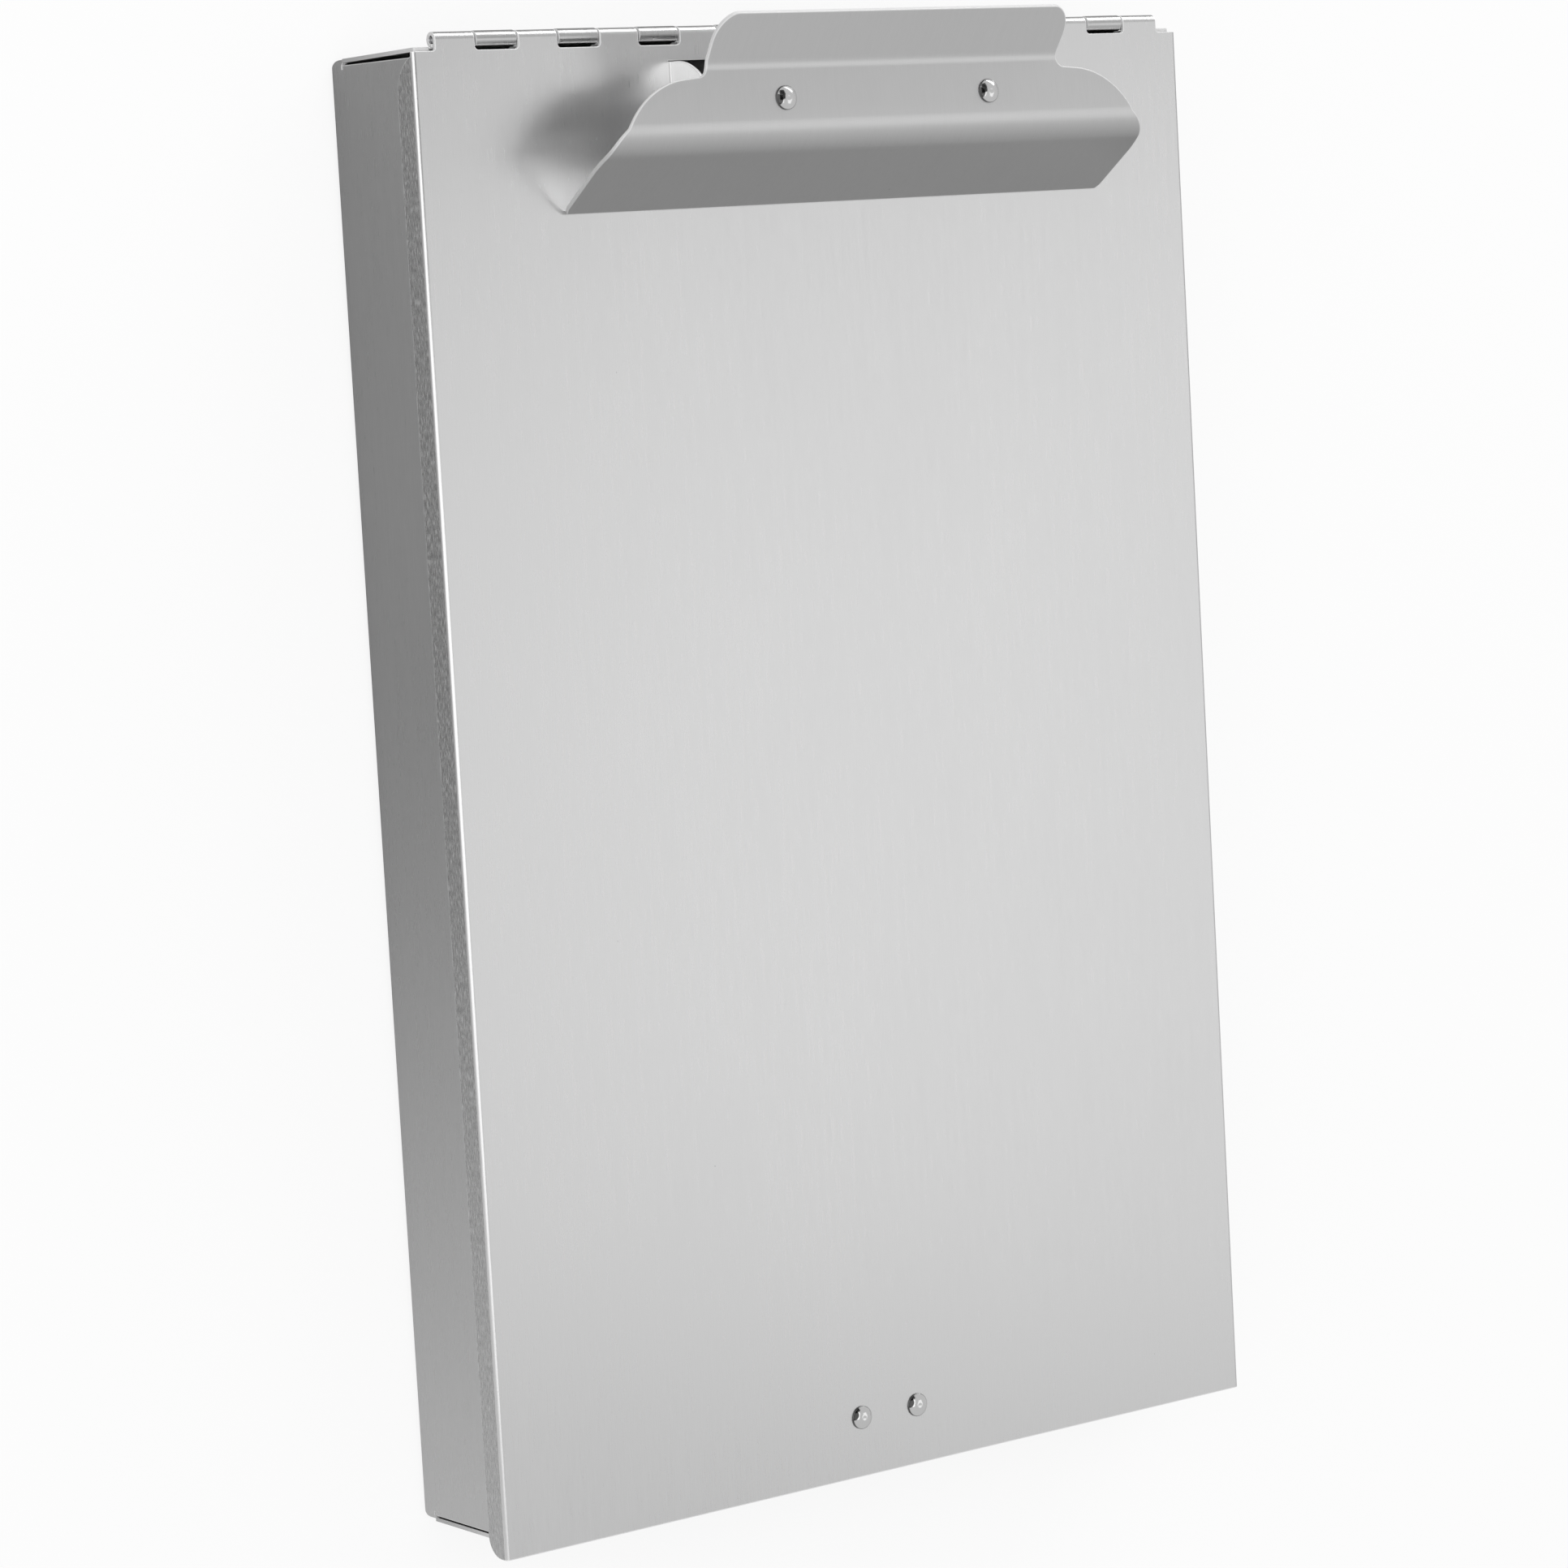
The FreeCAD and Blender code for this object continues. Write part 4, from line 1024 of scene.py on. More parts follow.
class ClipboardTray(bpy.types.Operator):
    """Fold the storage tray from one sheet, with its nine rolled knuckles and its catch lip."""

    bl_idname = "clipboard.storage_tray"
    bl_label = "Storage Tray"

    def execute(self, context):
        scene = context.scene
        t = tray_pattern(scene)
        zones, marks = tray_zones(scene, t)
        mesh = cut_sheet([tray_outline(scene, t)], tray_creases(t), zones, 0.0, -1, scene.tray_sizes.sheet,
                         marks=marks)
        fin = scene.clipboard_finishes
        material = metal("tray aluminium", fin.tray, fin.roughness, fin.brushing, depth=0.35, streak=0.08)
        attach(piece("tray_sheet", mesh, material, "storage_tray"), "tray")
        return {"FINISHED"}


def board_pattern(scene):
    """Lengths on the board's flat pattern: its flanges' bends, and the left ear's fold and ends."""
    board, clip, p = scene.board_sizes, scene.clip_sizes, places(scene)
    b = SimpleNamespace(quarter=board.bend_radius * QUARTER_TURN)
    b.bend_x = board.width / 2 - board.bend_radius
    b.straight = b.bend_x + b.quarter
    b.fold_x = clip.offset - board.ear_spacing / 2 - board.ear_bend
    b.ear_turn, b.ear_cut = board.ear_bend * QUARTER_TURN, 0.0002
    b.ear_z = board.depth + board.ear_rise
    b.foot_y, b.head_y = p.ear_y - board.ear_reach, p.ear_y + board.ear_round
    return b


def board_outline(scene, b):
    """Outline of the opened-out board: flanges with rounded ends, and the notched hinge edge.

    The flanges' rounds are arcs. On the upper one, the square of the way past its centre is the
    square of its radius less the square of the drop from its centre.
    """
    board, hinge, p = scene.board_sizes, scene.hinge_sizes, places(scene)
    r = board.bend_radius
    end_round, edge_round, lap = 0.0007, 0.0004, 0.000018
    low_points, high_points = 9, 14

    def at(drop):
        return b.straight + drop - r

    turn = np.radians(np.linspace(-90, 0, low_points))
    low_arc = np.column_stack([at(board.flange - board.low_round) + board.low_round * np.cos(turn),
                               p.low_y + board.low_round + board.low_round * np.sin(turn)])
    centre_y, centre_drop = p.high_y - board.high_start, board.flange - board.high_round
    drops = np.linspace(board.flange, r - lap, high_points)
    high_arc = np.column_stack([at(drops),
                                centre_y + np.sqrt(board.high_round ** 2 - (drops - centre_drop) ** 2)])
    ledge, half_roll = high_arc[-1, 0], hinge.roll_width / 2
    roll_end = p.hinge_y + hinge.roll_radius * hinge.roll_turn
    head = [(ledge, p.high_y, 0), (half_roll, p.high_y, end_round), (half_roll, roll_end, edge_round)]
    half_notch = hinge.eye_width / 2 + hinge.side_gap
    notches = []
    for x in p.knuckles[::-1]:
        right, left = x + half_notch, x - half_notch
        notches += [(right, roll_end, edge_round), (right, p.high_y, hinge.corner),
                    (left, p.high_y, hinge.corner), (left, roll_end, edge_round)]
    flip = np.array([-1, 1])
    return np.concatenate([low_arc, high_arc, soft_line(head + notches + flipped(head[::-1], x=-1)),
                           high_arc[::-1] * flip, low_arc[::-1] * flip])


def ear_x(scene, b, z):
    """Where on the pattern, across the board, the left ear's height above the table lies."""
    board = scene.board_sizes
    return b.fold_x + b.ear_turn + z - board.depth - board.ear_bend


def ear_loops(scene, b):
    """The cuts of both ears: an ear's edge with the window that it leaves, and the pin's hole.

    An ear's edge goes straight up from its foot, over its top on an arc, and straight down at its
    head. A point of the arc lies the radius times (cos a, sin a) along and up from its centre.
    """
    board, clip, p = scene.board_sizes, scene.clip_sizes, places(scene)
    lap, window_round, arc_points = 0.0001, 0.001, 28
    start = b.fold_x - lap
    rise = math.asin(board.ear_reach / board.ear_round)
    angle = np.linspace(QUARTER_TURN + rise, 0, arc_points)
    edge = np.column_stack([ear_x(scene, b, b.ear_z + board.ear_round * np.sin(angle)),
                            p.ear_y + board.ear_round * np.cos(angle)])
    window_x = b.fold_x + board.window + board.ear_bend
    window = soft_line([(start, b.head_y + b.ear_cut, 0), (window_x, b.head_y + b.ear_cut, window_round),
                        (window_x, b.foot_y - b.ear_cut, window_round), (start, b.foot_y - b.ear_cut, 0)])
    slot = np.concatenate([[(start, b.foot_y)], edge, [(start, b.head_y)], window])
    pin_hole = hole((ear_x(scene, b, p.pivot[1]), p.pivot[0]), clip.pin_radius + PIN_PLAY)
    right = [(line * [-1, 1] + [2 * clip.offset, 0])[::-1] for line in (slot, pin_hole)]
    return [slot, pin_hole] + right


def board_folds(scene, b):
    """Lines across the board's pattern where its bends are divided, and how each part is folded."""
    board, hinge, clip, p = scene.board_sizes, scene.hinge_sizes, scene.clip_sizes, places(scene)
    other_fold_x = 2 * clip.offset - b.fold_x
    side_plan = [(b.quarter, QUARTER_TURN), (board.flange, 0.0)]
    roll_plan = [(hinge.roll_radius * hinge.roll_turn, hinge.roll_turn)]
    ear_plan = [(b.ear_turn, -QUARTER_TURN), (board.window, 0.0)]
    past_top = 1e-5
    low, high = b.foot_y - b.ear_cut / 2, b.head_y + b.ear_cut / 2
    far_x = ear_x(scene, b, b.ear_z + board.ear_round) + past_top
    creases = []
    for length in arc_lengths(side_plan, [5, 0]):
        creases += [(0, side * (b.bend_x + length), *EDGE_TO_EDGE) for side in (1, -1)]
    # The roll's last division would lie in its rounded edge.
    for length in arc_lengths(roll_plan, [36])[:-2]:
        creases.append((1, p.hinge_y + length, *EDGE_TO_EDGE))
    for length in arc_lengths(ear_plan, [5, 0]):
        creases += [(0, b.fold_x + length, low, high), (0, other_fold_x - length, low, high)]

    def on_ear(x, y):
        return (x > b.fold_x) & (x < far_x) & (y > low) & (y < high)

    return creases, [
        (lambda x, y: x > b.bend_x, 0, b.bend_x, 1, 0.0, side_plan),
        (lambda x, y: x < -b.bend_x, 0, -b.bend_x, -1, 0.0, side_plan),
        (lambda x, y: y > p.hinge_y, 1, p.hinge_y, 1, 0.0, roll_plan),
        (on_ear, 0, b.fold_x, 1, 0.0, ear_plan),
        (lambda x, y: on_ear(2 * clip.offset - x, y), 0, other_fold_x, -1, 0.0, ear_plan),
    ]


class ClipboardBoard(bpy.types.Operator):
    """Fold the writing board: side flanges, rolled and notched hinge edge, and the two clip ears."""

    bl_idname = "clipboard.writing_board"
    bl_label = "Writing Board"

    def execute(self, context):
        scene = context.scene
        board, fin = scene.board_sizes, scene.clipboard_finishes
        b = board_pattern(scene)
        rivets = [hole((side * scene.rivet_sizes.spacing / 2, places(scene).latch_y), RIVET_HOLE_RADIUS)
                  for side in (-1, 1)]
        loops = [board_outline(scene, b)] + ear_loops(scene, b) + rivets
        creases, zones = board_folds(scene, b)
        mesh = cut_sheet(loops, creases, zones, board.depth, 1, board.sheet)
        # Painted shade: the side flanges past their bends are painted darker, and pressing gives them coarser
        # grain.
        fade = 0.0002
        material = metal("board aluminium", fin.board, fin.roughness, fin.brushing, depth=0.3,
                         shade_and_grain_zone=dict(axis="X", start=b.straight - fade, full=b.straight, darker=0.27,
                                     coarser=1.0))
        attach(piece("board_sheet", mesh, material, "writing_cover"), "cover")
        return {"FINISHED"}


# Outline of the opened-out lever: shares of its half width and of its length from the jaw's edge.
# Each row after the first is the middle and the end of an arc, or twice the same point for a line.
LEVER_OUTLINE_SHARES = [
    ((0.955, 0.0), (0.955, 0.0)),
    ((0.992, 0.005), (0.999, 0.033)),
    ((1.0, 0.290), (1.0, 0.290)),
    ((0.986, 0.405), (0.937, 0.520)),
    ((0.852, 0.650), (0.724, 0.711)),
    ((0.680, 0.716), (0.680, 0.716)),
    ((0.658, 0.731), (0.650, 0.763)),
    ((0.653, 0.868), (0.653, 0.868)),
    ((0.628, 0.968), (0.556, 1.0)),
]


def lever_outline(scene, heading, pieces):
    """Outline of the opened-out lever, with arcs drawn in plan and carried along the bent strip.

    A place in plan lies at the length along the strip whose own distance from the jaw is the same.
    """
    clip, p = scene.clip_sizes, places(scene)
    jaw_y = p.lever[0, 0]
    samples, arc_points = 600, 14
    lengths = np.linspace(0, sum(span for span, _ in pieces), samples)
    out, _, _ = run_along(lengths, heading, pieces)
    sharp = np.append(0, np.cumsum([clip.jaw_length, clip.flat_length, clip.tab_length]))

    def plan(shares):
        return shares[0] * clip.half_width, np.interp(shares[1] * sharp[-1], sharp, p.lever[:, 0])

    line = [np.array([plan(LEVER_OUTLINE_SHARES[0][1])])]
    for middle, end in LEVER_OUTLINE_SHARES[1:]:
        first = line[-1][-1]
        if middle == end:
            line.append(np.linspace(first, plan(end), 3)[1:])
        else:
            line.append(arc_through(first, plan(middle), plan(end), arc_points)[1:])
    line = np.concatenate(line)
    line[:, 1] = jaw_y + np.interp(line[:, 1] - jaw_y, out, lengths)
    shift = np.array([clip.offset, 0])
    return np.concatenate([line + shift, line[::-1] * [-1, 1] + shift])


class ClipboardLever(bpy.types.Operator):
    """Bend the wide clip lever: jaw flange, rivet flat and press tab in one curved-edge sheet."""

    bl_idname = "clipboard.clip_lever"
    bl_label = "Clip Lever"

    def execute(self, context):
        scene = context.scene
        clip, fin, p = scene.clip_sizes, scene.clipboard_finishes, places(scene)
        jaw_y, jaw_z = p.lever[0]
        heading, pieces = bend_plan(p.lever, [clip.jaw_bend, clip.tab_bend])
        near = clip.jaw_length - clip.jaw_bend * math.tan((clip.jaw_angle + clip.flat_angle) / 2)
        rivet_y = jaw_y + (pieces[0][0] + pieces[1][0] + clip.rivet_along - (clip.jaw_length - near))
        holes = [hole((clip.offset + side * clip.rivet_spacing / 2, rivet_y), RIVET_HOLE_RADIUS)
                 for side in (-1, 1)]
        creases = [(1, jaw_y + length, *EDGE_TO_EDGE) for length in arc_lengths(pieces, [0, 18, 0, 10, 0])]
        zones = [(everywhere, 1, jaw_y, 1, heading, pieces)]
        mesh = cut_sheet([lever_outline(scene, heading, pieces)] + holes, creases, zones, jaw_z, 1,
                         clip.sheet, rim=0.00018)
        # Painted shade: the jaw flange is painted darker, fading out over its bend, and its grain is a little
        # coarser.
        jaw_end, fade, past, duller = jaw_y + near, 0.007, 0.001, 0.07
        material = metal("lever aluminium", fin.lever, fin.roughness + duller, brushing=0.2, depth=0.3,
                         shade_and_grain_zone=dict(axis="Y", start=jaw_end + fade, full=jaw_end - past, darker=0.4,
                                     coarser=0.1))
        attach(piece("lever_sheet", mesh, material, "clip_lever"), "clip")
        return {"FINISHED"}


class ClipboardBracket(bpy.types.Operator):
    """Bend the channel under the lever whose lugs turn on the pivot pin."""

    bl_idname = "clipboard.clip_bracket"
    bl_label = "Clip Bracket"

    def execute(self, context):
        scene = context.scene
        board, clip, p = scene.board_sizes, scene.clip_sizes, places(scene)
        bend, round_end, end_points = 0.002, clip.bracket_width / 2, 19
        top = -clip.sheet - SEAT_GAP
        bend_x, quarter = board.ear_spacing / 2 - board.sheet - REST_GAP - bend, bend * QUARTER_TURN
        centre = bend_x + quarter + (top - bend + clip.pivot_drop)
        angle = np.radians(np.linspace(-90, 90, end_points))
        end = np.column_stack([centre + round_end * np.cos(angle),
                               clip.rivet_along + round_end * np.sin(angle)])
        loops = [np.concatenate([end, end[::-1] * [-1, 1]])]
        loops += [hole((side * centre, clip.rivet_along), clip.pin_radius + PIN_PLAY) for side in (1, -1)]
        loops += [hole((side * clip.rivet_spacing / 2, clip.rivet_along), RIVET_HOLE_RADIUS)
                  for side in (1, -1)]
        any_length = 1.0
        plan = [(quarter, QUARTER_TURN), (any_length, 0.0)]
        creases = [(0, side * (bend_x + length), *EDGE_TO_EDGE) for length in arc_lengths(plan, [8, 0])
                   for side in (1, -1)]
        zones = [(lambda x, y: x > bend_x, 0, bend_x, 1, 0.0, plan),
                 (lambda x, y: x < -bend_x, 0, -bend_x, -1, 0.0, plan)]
        mesh = moved(cut_sheet(loops, creases, zones, top, 1, clip.bracket), p.flat)
        material = metal("bracket zinc", scene.clipboard_finishes.zinc, roughness=0.35, brushing=0.2,
                         depth=0.15, cloud=0.12)
        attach(piece("bracket_sheet", mesh, material, "clip_bracket"), "clip")
        return {"FINISHED"}


def spring_steel(scene):
    """Bright drawn wire and leaf."""
    return metal("spring steel", scene.clipboard_finishes.steel, roughness=0.25, brushing=0.3, depth=0.1,
                 streak=0.06)


def spring_path(scene):
    """The right spring's line: foot on the board, coil round the pin, and arm under the bracket.

    The coil is a helix about the pin: the radius times (cos a, sin a) along and up, with a climb per
    angle across. The foot and the arm leave it on its tangents, one to the foot's end on the board
    and one past the bracket's edge. With the line come the distances from the clip's middle between
    which the wire is wound.
    """
    board, clip, p = scene.board_sizes, scene.clip_sizes, places(scene)
    pivot_y, pivot_z = p.pivot
    foot_reach, arm_gap, arm_past, pitch, from_middle = 0.0112, 0.00025, 0.002, 0.0018, 0.020
    points_per_turn, leg_points, end_points = 24, 8, 6

    def tangent(y, z, side):
        distance = math.hypot(y, z)
        return (math.atan2(z, y) + side * math.acos(clip.coil / distance),
                math.sqrt(distance ** 2 - clip.coil ** 2))

    foot_angle, foot_length = tangent(foot_reach, board.depth + clip.wire + SEAT_GAP - pivot_z, -1)
    below = clip.sheet + SEAT_GAP + clip.bracket + clip.wire + arm_gap
    edge = p.flat @ Vector((0, clip.rivet_along + clip.bracket_width / 2, -below))
    arm_angle, arm_length = tangent(edge.y - pivot_y, edge.z - pivot_z, 1)
    arm_length += arm_past
    sweep = foot_angle - arm_angle + 2 * math.pi * (clip.turns + 1)
    climb = pitch / (2 * math.pi)
    angle = foot_angle - np.linspace(0, sweep, points_per_turn * clip.turns)
    coil = np.column_stack([clip.offset + from_middle + climb * (foot_angle - angle),
                            pivot_y + clip.coil * np.cos(angle), pivot_z + clip.coil * np.sin(angle)])

    def heading(turn):
        run = np.array([climb, clip.coil * math.sin(turn), -clip.coil * math.cos(turn)])
        return run / np.linalg.norm(run)

    shares = np.linspace(0, 1, leg_points)[:, None]
    foot = coil[0] - heading(angle[0]) * foot_length * (1 - shares[:-1])
    arm = coil[-1] + heading(angle[-1]) * arm_length * shares[1:]
    near, far = coil[end_points, 0] - clip.offset, coil[-end_points, 0] - clip.offset
    return np.concatenate([foot, coil, arm]), near, far


class ClipboardSprings(bpy.types.Operator):
    """Wind the two torsion springs: foot on the board, coil round the pin, arm under the bracket."""

    bl_idname = "clipboard.clip_springs"
    bl_label = "Clip Springs"

    def execute(self, context):
        scene = context.scene
        clip, p = scene.clip_sizes, places(scene)
        path, near, far = spring_path(scene)
        right = wire_along(path, clip.wire)
        left = mirrored(right, clip.offset)
        for name, mesh, sign in (("spring_right", right, 1), ("spring_left", left, -1)):
            thing = piece(name, mesh, spring_steel(scene), "clip_" + name)
            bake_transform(thing)
        return {"FINISHED"}


class ClipboardPins(bpy.types.Operator):
    """Turn the long hinge pin and the headed pivot pin."""

    bl_idname = "clipboard.pins"
    bl_label = "Pins"

    def execute(self, context):
        scene = context.scene
        board, hinge, clip, p = scene.board_sizes, scene.hinge_sizes, scene.clip_sizes, places(scene)
        material = metal("pin steel", scene.clipboard_finishes.steel, roughness=0.28, brushing=0.3,
                         depth=0.1, streak=0.06)
        across = Matrix.Rotation(QUARTER_TURN, 4, "Y")
        half, r, chamfer = hinge.roll_width / 2 - hinge.pin_inset, hinge.pin_radius, 0.00025
        upper = [(r, half, chamfer), (0, half, 0)]
        wire = lathed(soft_line(flipped(upper[::-1], y=-1) + upper, steps=5), segments=24)
        wire = moved(wire, Matrix.Translation((0, p.hinge_y, p.hinge_z)) @ across)
        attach(piece("hinge_wire", wire, material, "hinge_pin"), "tray")

        ear_gap, head_height, head, r = 0.0001, 0.0009, 0.0023, clip.pin_radius
        outer_round, inner_round, neck_round = 0.0004, 0.0002, 0.00008
        inner = board.ear_spacing / 2 + ear_gap
        upper = [(r, inner, neck_round), (head, inner, inner_round), (head, inner + head_height, outer_round),
                 (0, inner + head_height, 0)]
        pin = lathed(soft_line(flipped(upper[::-1], y=-1) + upper, steps=5), segments=32)
        pin = moved(pin, Matrix.Translation((clip.offset, p.pivot[0], p.pivot[1])) @ across)
        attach(piece("pivot_wire", pin, material, "clip_pivot_pin"), "cover")
        return {"FINISHED"}


class ClipboardRivets(bpy.types.Operator):
    """Set the four domed rivets, each with a small setting mark in its head."""

    bl_idname = "clipboard.rivets"
    bl_label = "Rivets"

    def execute(self, context):
        scene = context.scene
        board, clip, rivet, p = scene.board_sizes, scene.clip_sizes, scene.rivet_sizes, places(scene)
        edge, mark, tail_height, tail, shank = 0.00035, 0.0007, 0.0008, 0.0022, 0.0015
        tail_round, neck_round, head_round, dome_points = 0.0003, 0.0001, 0.00005, 26
        rise = rivet.head_height - edge
        dome = (rise ** 2 + rivet.head_radius ** 2) / (2 * rise)
        lowest = math.asin(rivet.head_radius / dome)

        def outline(grip):
            turn = np.linspace(lowest, 0, dome_points)
            radius = dome * np.sin(turn)
            height = rivet.head_height - dome + dome * np.cos(turn)
            height = height - rivet.dimple * np.exp(-(radius / mark) ** 2)
            low = -grip - tail_height
            stem = soft_line([(0, low, 0), (tail, low, tail_round), (tail, -grip, neck_round),
                              (shank, -grip, head_round), (shank, SEAT_GAP, head_round),
                              (rivet.head_radius, SEAT_GAP, neck_round), (rivet.head_radius, edge, 0)],
                             steps=4)
            return np.concatenate([stem, np.column_stack([radius, height])[1:]])

        # Painted shade: past the dome's edge the head's rim and shank are painted far darker, as a contact
        # shadow round the head; the dome is painted darker where it faces the camera, as a painted reflection
        # of the camera.
        head_edge, fade = dome * lowest, 0.0003
        material = metal("polished rivet", scene.clipboard_finishes.rivet, roughness=0.15, brushing=0.0,
                         depth=0.02, streak=0.03, cloud=0.10, painted_reflection=0.92,
                         shade_and_grain_zone=dict(axis="Y", start=head_edge - fade, full=head_edge, darker=0.85,
                                     coarser=0.0))
        clip_head = lathed(outline(clip.sheet + clip.bracket + 2 * SEAT_GAP), segments=48)
        latch_head = lathed(outline(board.sheet + rivet.leaf + 2 * SEAT_GAP), segments=48)
        for side, word in ((-1, "left"), (1, "right")):
            place = p.flat @ Matrix.Translation((side * clip.rivet_spacing / 2, clip.rivet_along, 0))
            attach(piece("clip_rivet_head_" + word, moved(clip_head, place), material,
                          "clip_rivet_" + word), "clip")
            place = Matrix.Translation((side * rivet.spacing / 2, p.latch_y, board.depth))
            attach(piece("latch_rivet_head_" + word, moved(latch_head, place), material,
                          "latch_rivet_" + word), "cover")
        return {"FINISHED"}


class ClipboardLatch(bpy.types.Operator):
    """Bend the spring leaf under the board's free edge that hooks under the tray's lip."""

    bl_idname = "clipboard.latch_leaf"
    bl_label = "Latch Leaf"

    def execute(self, context):
        scene = context.scene
        rivet, p = scene.rivet_sizes, places(scene)
        foot, drop_gap, nose_reach = 0.0112, 0.0009, 0.0008
        hook_drop, tail_back, tail_drop = 0.00145, 0.0034, 0.0055
        foot_bend, hook_bend, foot_round, end_round = 0.0012, 0.0007, 0.001, 0.002
        top, drop_y, nose_y = p.under_z - SEAT_GAP, p.lip_y + drop_gap, p.lip_y - nose_reach
        nose, nose_z = foot + drop_y - nose_y, p.lip_z - hook_drop - top
        corners = [(0, 0), (foot, 0), (foot, p.lip_z + REST_GAP - top), (nose, nose_z),
                   (nose - tail_back, nose_z - tail_drop)]
        heading, pieces = bend_plan(corners, [foot_bend, hook_bend, hook_bend])
        start_y = drop_y + foot
        end_y, half = start_y - sum(span for span, _ in pieces), rivet.leaf_width / 2
        loops = [soft_line([(-half, end_y, end_round), (half, end_y, end_round), (half, start_y, foot_round),
                            (-half, start_y, foot_round)])]
        loops += [hole((side * rivet.spacing / 2, p.latch_y), RIVET_HOLE_RADIUS) for side in (-1, 1)]
        creases = [(1, start_y - length, *EDGE_TO_EDGE)
                   for length in arc_lengths(pieces, [0, 8, 0, 6, 0, 8, 0])]
        zones = [(everywhere, 1, start_y, -1, heading, pieces)]
        mesh = cut_sheet(loops, creases, zones, top, 1, rivet.leaf, rim=0.0001)
        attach(piece("leaf_sheet", mesh, spring_steel(scene), "latch_leaf"), "cover")
        return {"FINISHED"}


class ClipboardStage(bpy.types.Operator):
    """Set up the plain floor, the dark overhead flag, the soft lights, the surround and the camera."""

    bl_idname = "clipboard.stage"
    bl_label = "Stage"

    def execute(self, context):
        scene = context.scene
        stage = scene.stage_settings
        half, floor_z, flag_z = 6.0, -1e-4, 0.6
        corners = [(-half, -half), (half, -half), (half, half), (-half, half)]
        floor = flat_sheet("floor", corners, floor_z, floor_material(stage))

        # Only metal sees the flag. Its edges show in the polished rivets and the ear.
        corners = [(-0.12, 0.10), (0.04, 0.175), (0.15, 0.22), (0.15, 0.9), (-0.26, 0.9), (-0.26, 0.10)]
        flag = flat_sheet("overhead_flag", corners, flag_z, flag_cloth())
        flag.visible_camera = flag.visible_diffuse = flag.visible_transmission = flag.visible_shadow = False

        scene.world = surround(stage)
        soft_light("key light", place=(1.28, -0.16, 1.65), target=(0, 0, 0.03), size=(0.92, 0.80),
                   radiance=stage.key)
        soft_light("side light", place=(-1.15, 0.30, 1.60), target=(0, 0.05, 0.03), size=(1.8, 3.0),
                   radiance=stage.side)
        soft_light("back light", place=(0.83, 1.31, 0.33), target=(-0.05, 0.14, 0.04), size=(1.5, 0.5),
                   radiance=stage.back)
        scene.camera = aimed_camera(stage)
        scene.view_settings.view_transform = "Standard"
        return {"FINISHED"}


def aimed_camera(stage):
    """The camera in its place, turned by the directions of its picture's right, its top and its view."""
    place = (-0.73307, 0.12455, 1.00621)
    right = Vector((0.800972, -0.055662, 0.596109))
    top = Vector((0.10804542, 0.99275992, -0.05247784))
    view = Vector((0.58887187, -0.1064401, -0.80118688))
    lens = bpy.data.cameras.new("camera")
    lens.lens, lens.sensor_width, lens.sensor_fit = stage.lens, 36.0, "HORIZONTAL"
    lens.clip_start, lens.clip_end = 0.05, 50.0
    camera = placed("camera", lens)
    camera.matrix_world = Matrix.Translation(place) @ Matrix((right, top, -view)).transposed().to_4x4()
    return camera


def flat_sheet(name, corners, z, material):
    """A level face through corners (x, y) at one height."""
    data = bpy.data.meshes.new(name)
    data.from_pydata([(x, y, z) for x, y in corners], [], [tuple(range(len(corners)))])
    return placed(name, data, material)


def soft_light(name, place, target, size, radiance):
    """A rectangular lamp of even brightness that looks at a target."""
    data = bpy.data.lights.new(name, "AREA")
    data.shape, data.size, data.size_y = "RECTANGLE", size[0], size[1]
    data.energy = radiance * math.pi * size[0] * size[1]
    lamp = placed(name, data)
    lamp.location = place
    lamp.rotation_euler = (Vector(target) - Vector(place)).to_track_quat("-Z", "Y").to_euler()


def surround(stage):
    """A plain surround: nearly white to the camera, and dimmer as a light."""
    world = bpy.data.worlds.new("surround")
    world.use_nodes = True
    tree = world.node_tree
    seen = add_node(tree, "LightPath").outputs["Is Camera Ray"]
    seen_level = 0.965
    level = times_plus(tree, seen, seen_level - stage.surround, stage.surround)
    feed(tree, tree.nodes["Background"], {"Strength": level, "Color": (1, 1, 1, 1)})
    return world


def flag_cloth():
    """Dull black cloth."""
    material = bpy.data.materials.new("flag cloth")
    material.use_nodes = True
    tree = material.node_tree
    feed(tree, tree.nodes["Principled BSDF"],
         {"Base Color": (0.02, 0.02, 0.02, 1), "Roughness": 1.0, "Specular IOR Level": 0.0})
    return material


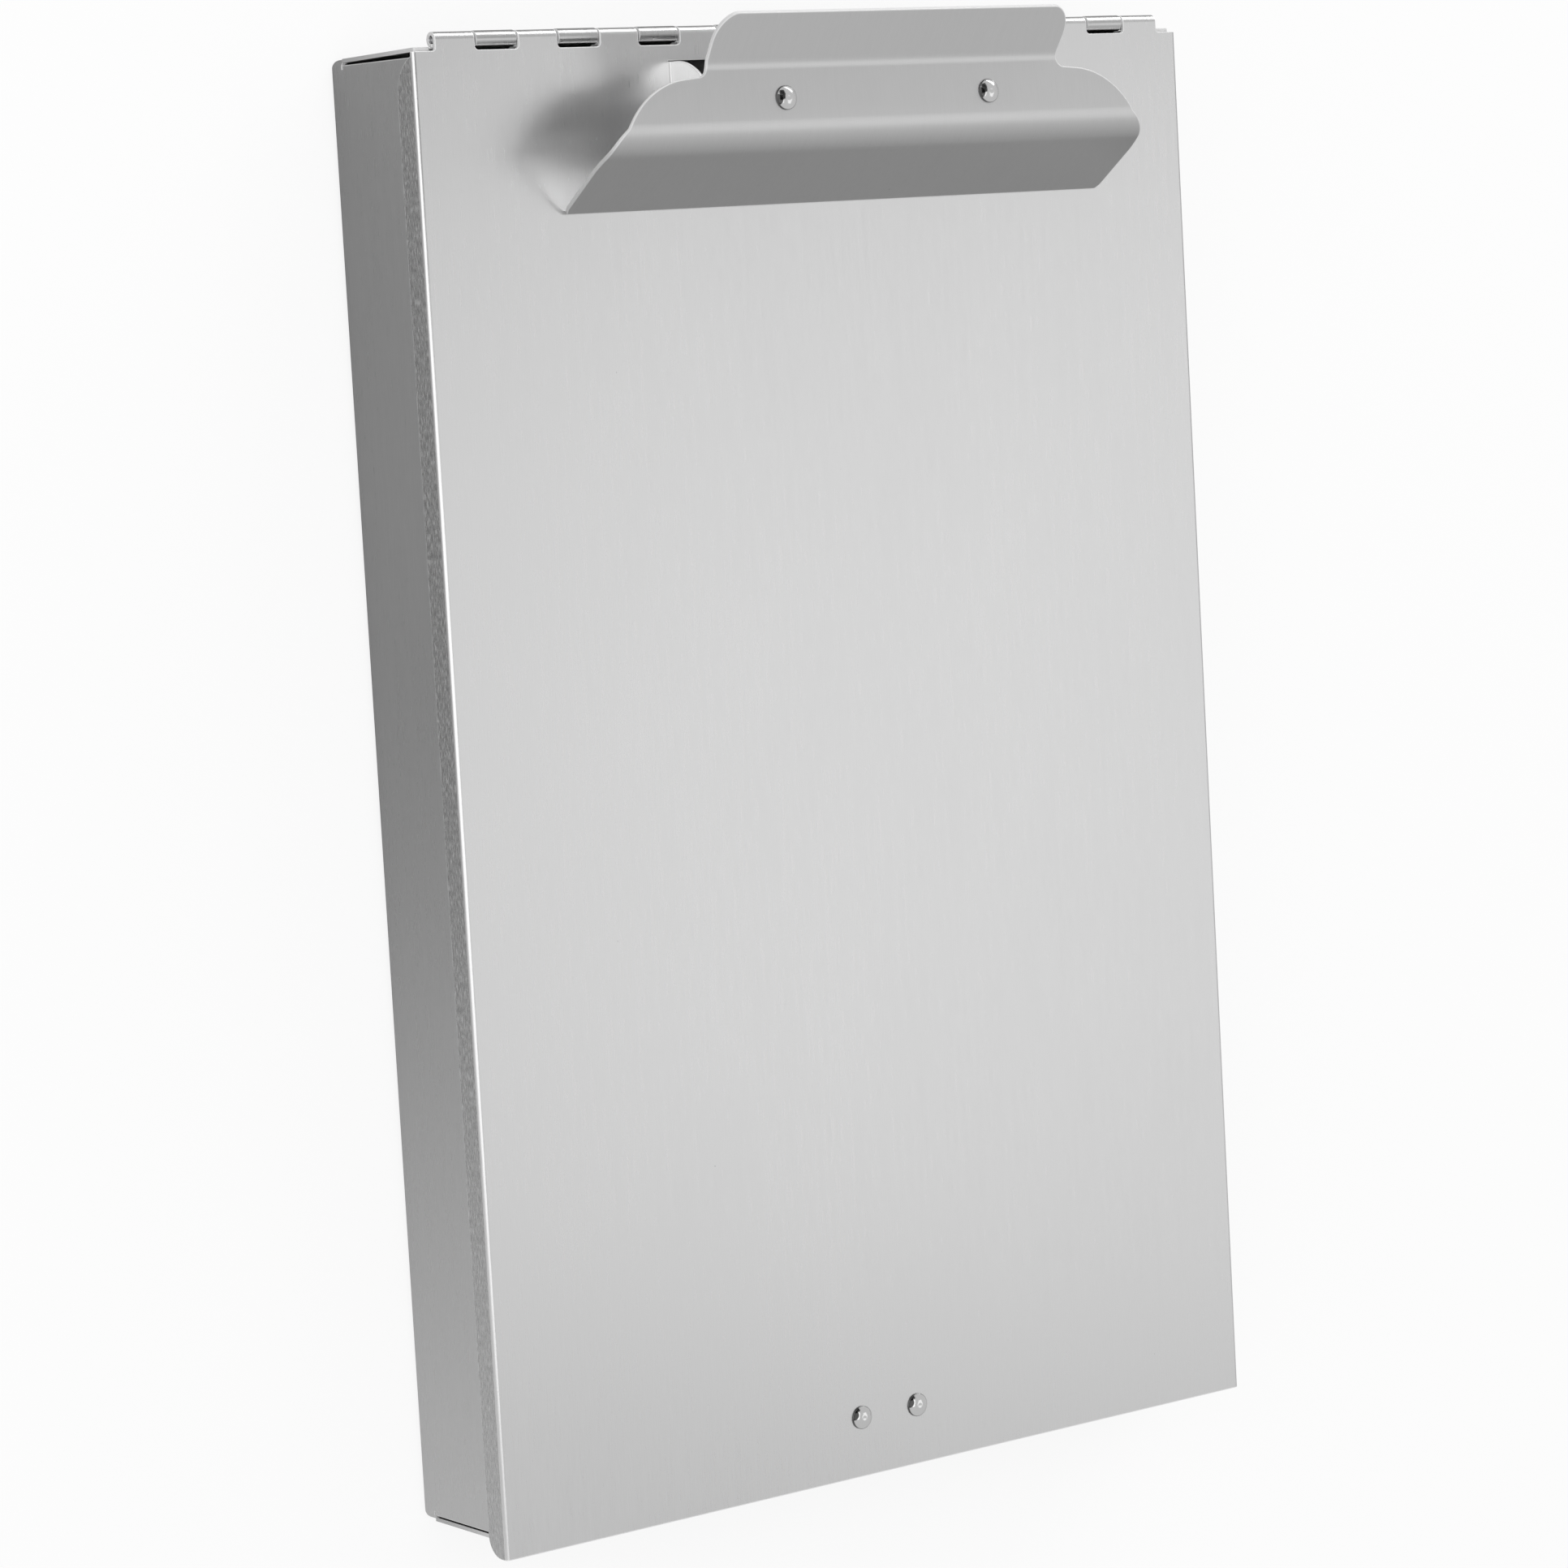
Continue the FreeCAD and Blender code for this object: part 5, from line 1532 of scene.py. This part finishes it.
def floor_material(stage):
    """Pale floor that keeps the object's shadow, and is lifted to white where the camera looks.

    The metal sees it darker, with a painted sheen, a glow that only reflections show, which grows towards the
    board's free end.
    """
    material = bpy.data.materials.new("floor")
    material.use_nodes = True
    tree = material.node_tree
    where = add_node(tree, "TexCoord").outputs["Object"]
    path = add_node(tree, "LightPath").outputs
    mottling, darker_to_camera, darker_to_metal = 0.01, 0.65, 0.3
    sheen_starts, sheen_full = 0.04, -0.20
    mottle = noise(tree, where, (40, 40, 40), detail=3.0)
    shade = times_plus(tree, maths(tree, "SUBTRACT", mottle, 0.5), mottling, 1.0)
    for rays, darker in (("Is Camera Ray", darker_to_camera), ("Is Glossy Ray", darker_to_metal)):
        shade = maths(tree, "MULTIPLY", shade, times_plus(tree, path[rays], -darker, 1.0))
    # Painted sheen: a glow that only reflections show, growing towards the board's free end.
    along = add_node(tree, "SeparateXYZ", {0: where}).outputs["Y"]
    sheen = smooth_step(tree, along, sheen_starts, sheen_full, stage.sheen)
    lift = maths(tree, "MULTIPLY", path["Is Camera Ray"], stage.lift)
    mirrored_or_through = maths(tree, "ADD", path["Is Glossy Ray"], path["Is Transmission Ray"])
    feed(tree, tree.nodes["Principled BSDF"], {
        "Base Color": tinted(tree, stage.floor, shade),
        "Roughness": 0.9,
        "Specular IOR Level": 0.0,
        "Emission Color": (1, 1, 1, 1),
        "Emission Strength": times_plus(tree, mirrored_or_through, sheen, lift),
    })
    return material


class ClipboardPanel(bpy.types.Panel):
    """Sidebar list of the pieces and of their sizes."""

    bl_label = "Storage Clipboard"
    bl_idname = "VIEW3D_PT_storage_clipboard"
    bl_space_type = "VIEW_3D"
    bl_region_type = "UI"
    bl_category = "Clipboard"

    def draw(self, context):
        for operator in OPERATORS:
            self.layout.operator(operator.bl_idname)
        for name, group in GROUPS.items():
            box = self.layout.box()
            box.label(text=group.__doc__)
            for key in group.__annotations__:
                box.prop(getattr(context.scene, name), key)


GROUPS = {
    "board_sizes": BoardSizes,
    "tray_sizes": TraySizes,
    "hinge_sizes": HingeSizes,
    "clip_sizes": ClipSizes,
    "rivet_sizes": RivetSizes,
    "clipboard_finishes": Finishes,
    "stage_settings": StageSettings,
}
OPERATORS = [
    ClipboardStage, ClipboardTray, ClipboardBoard, ClipboardLever, ClipboardBracket,
    ClipboardSprings, ClipboardPins, ClipboardRivets, ClipboardLatch,
]


def register():
    """Add the sizes, the operators and the panel."""
    for group in list(GROUPS.values()) + OPERATORS + [ClipboardPanel]:
        bpy.utils.register_class(group)
    for name, group in GROUPS.items():
        setattr(bpy.types.Scene, name, PointerProperty(type=group))


def unregister():
    """Take them away again."""
    for name in GROUPS:
        delattr(bpy.types.Scene, name)
    for group in [ClipboardPanel] + OPERATORS + list(GROUPS.values()):
        bpy.utils.unregister_class(group)


def main():
    """Build every piece."""
    register()
    for operator in OPERATORS:
        family, action = operator.bl_idname.split(".")
        getattr(getattr(bpy.ops, family), action)()


if __name__ == "__main__":
    main()
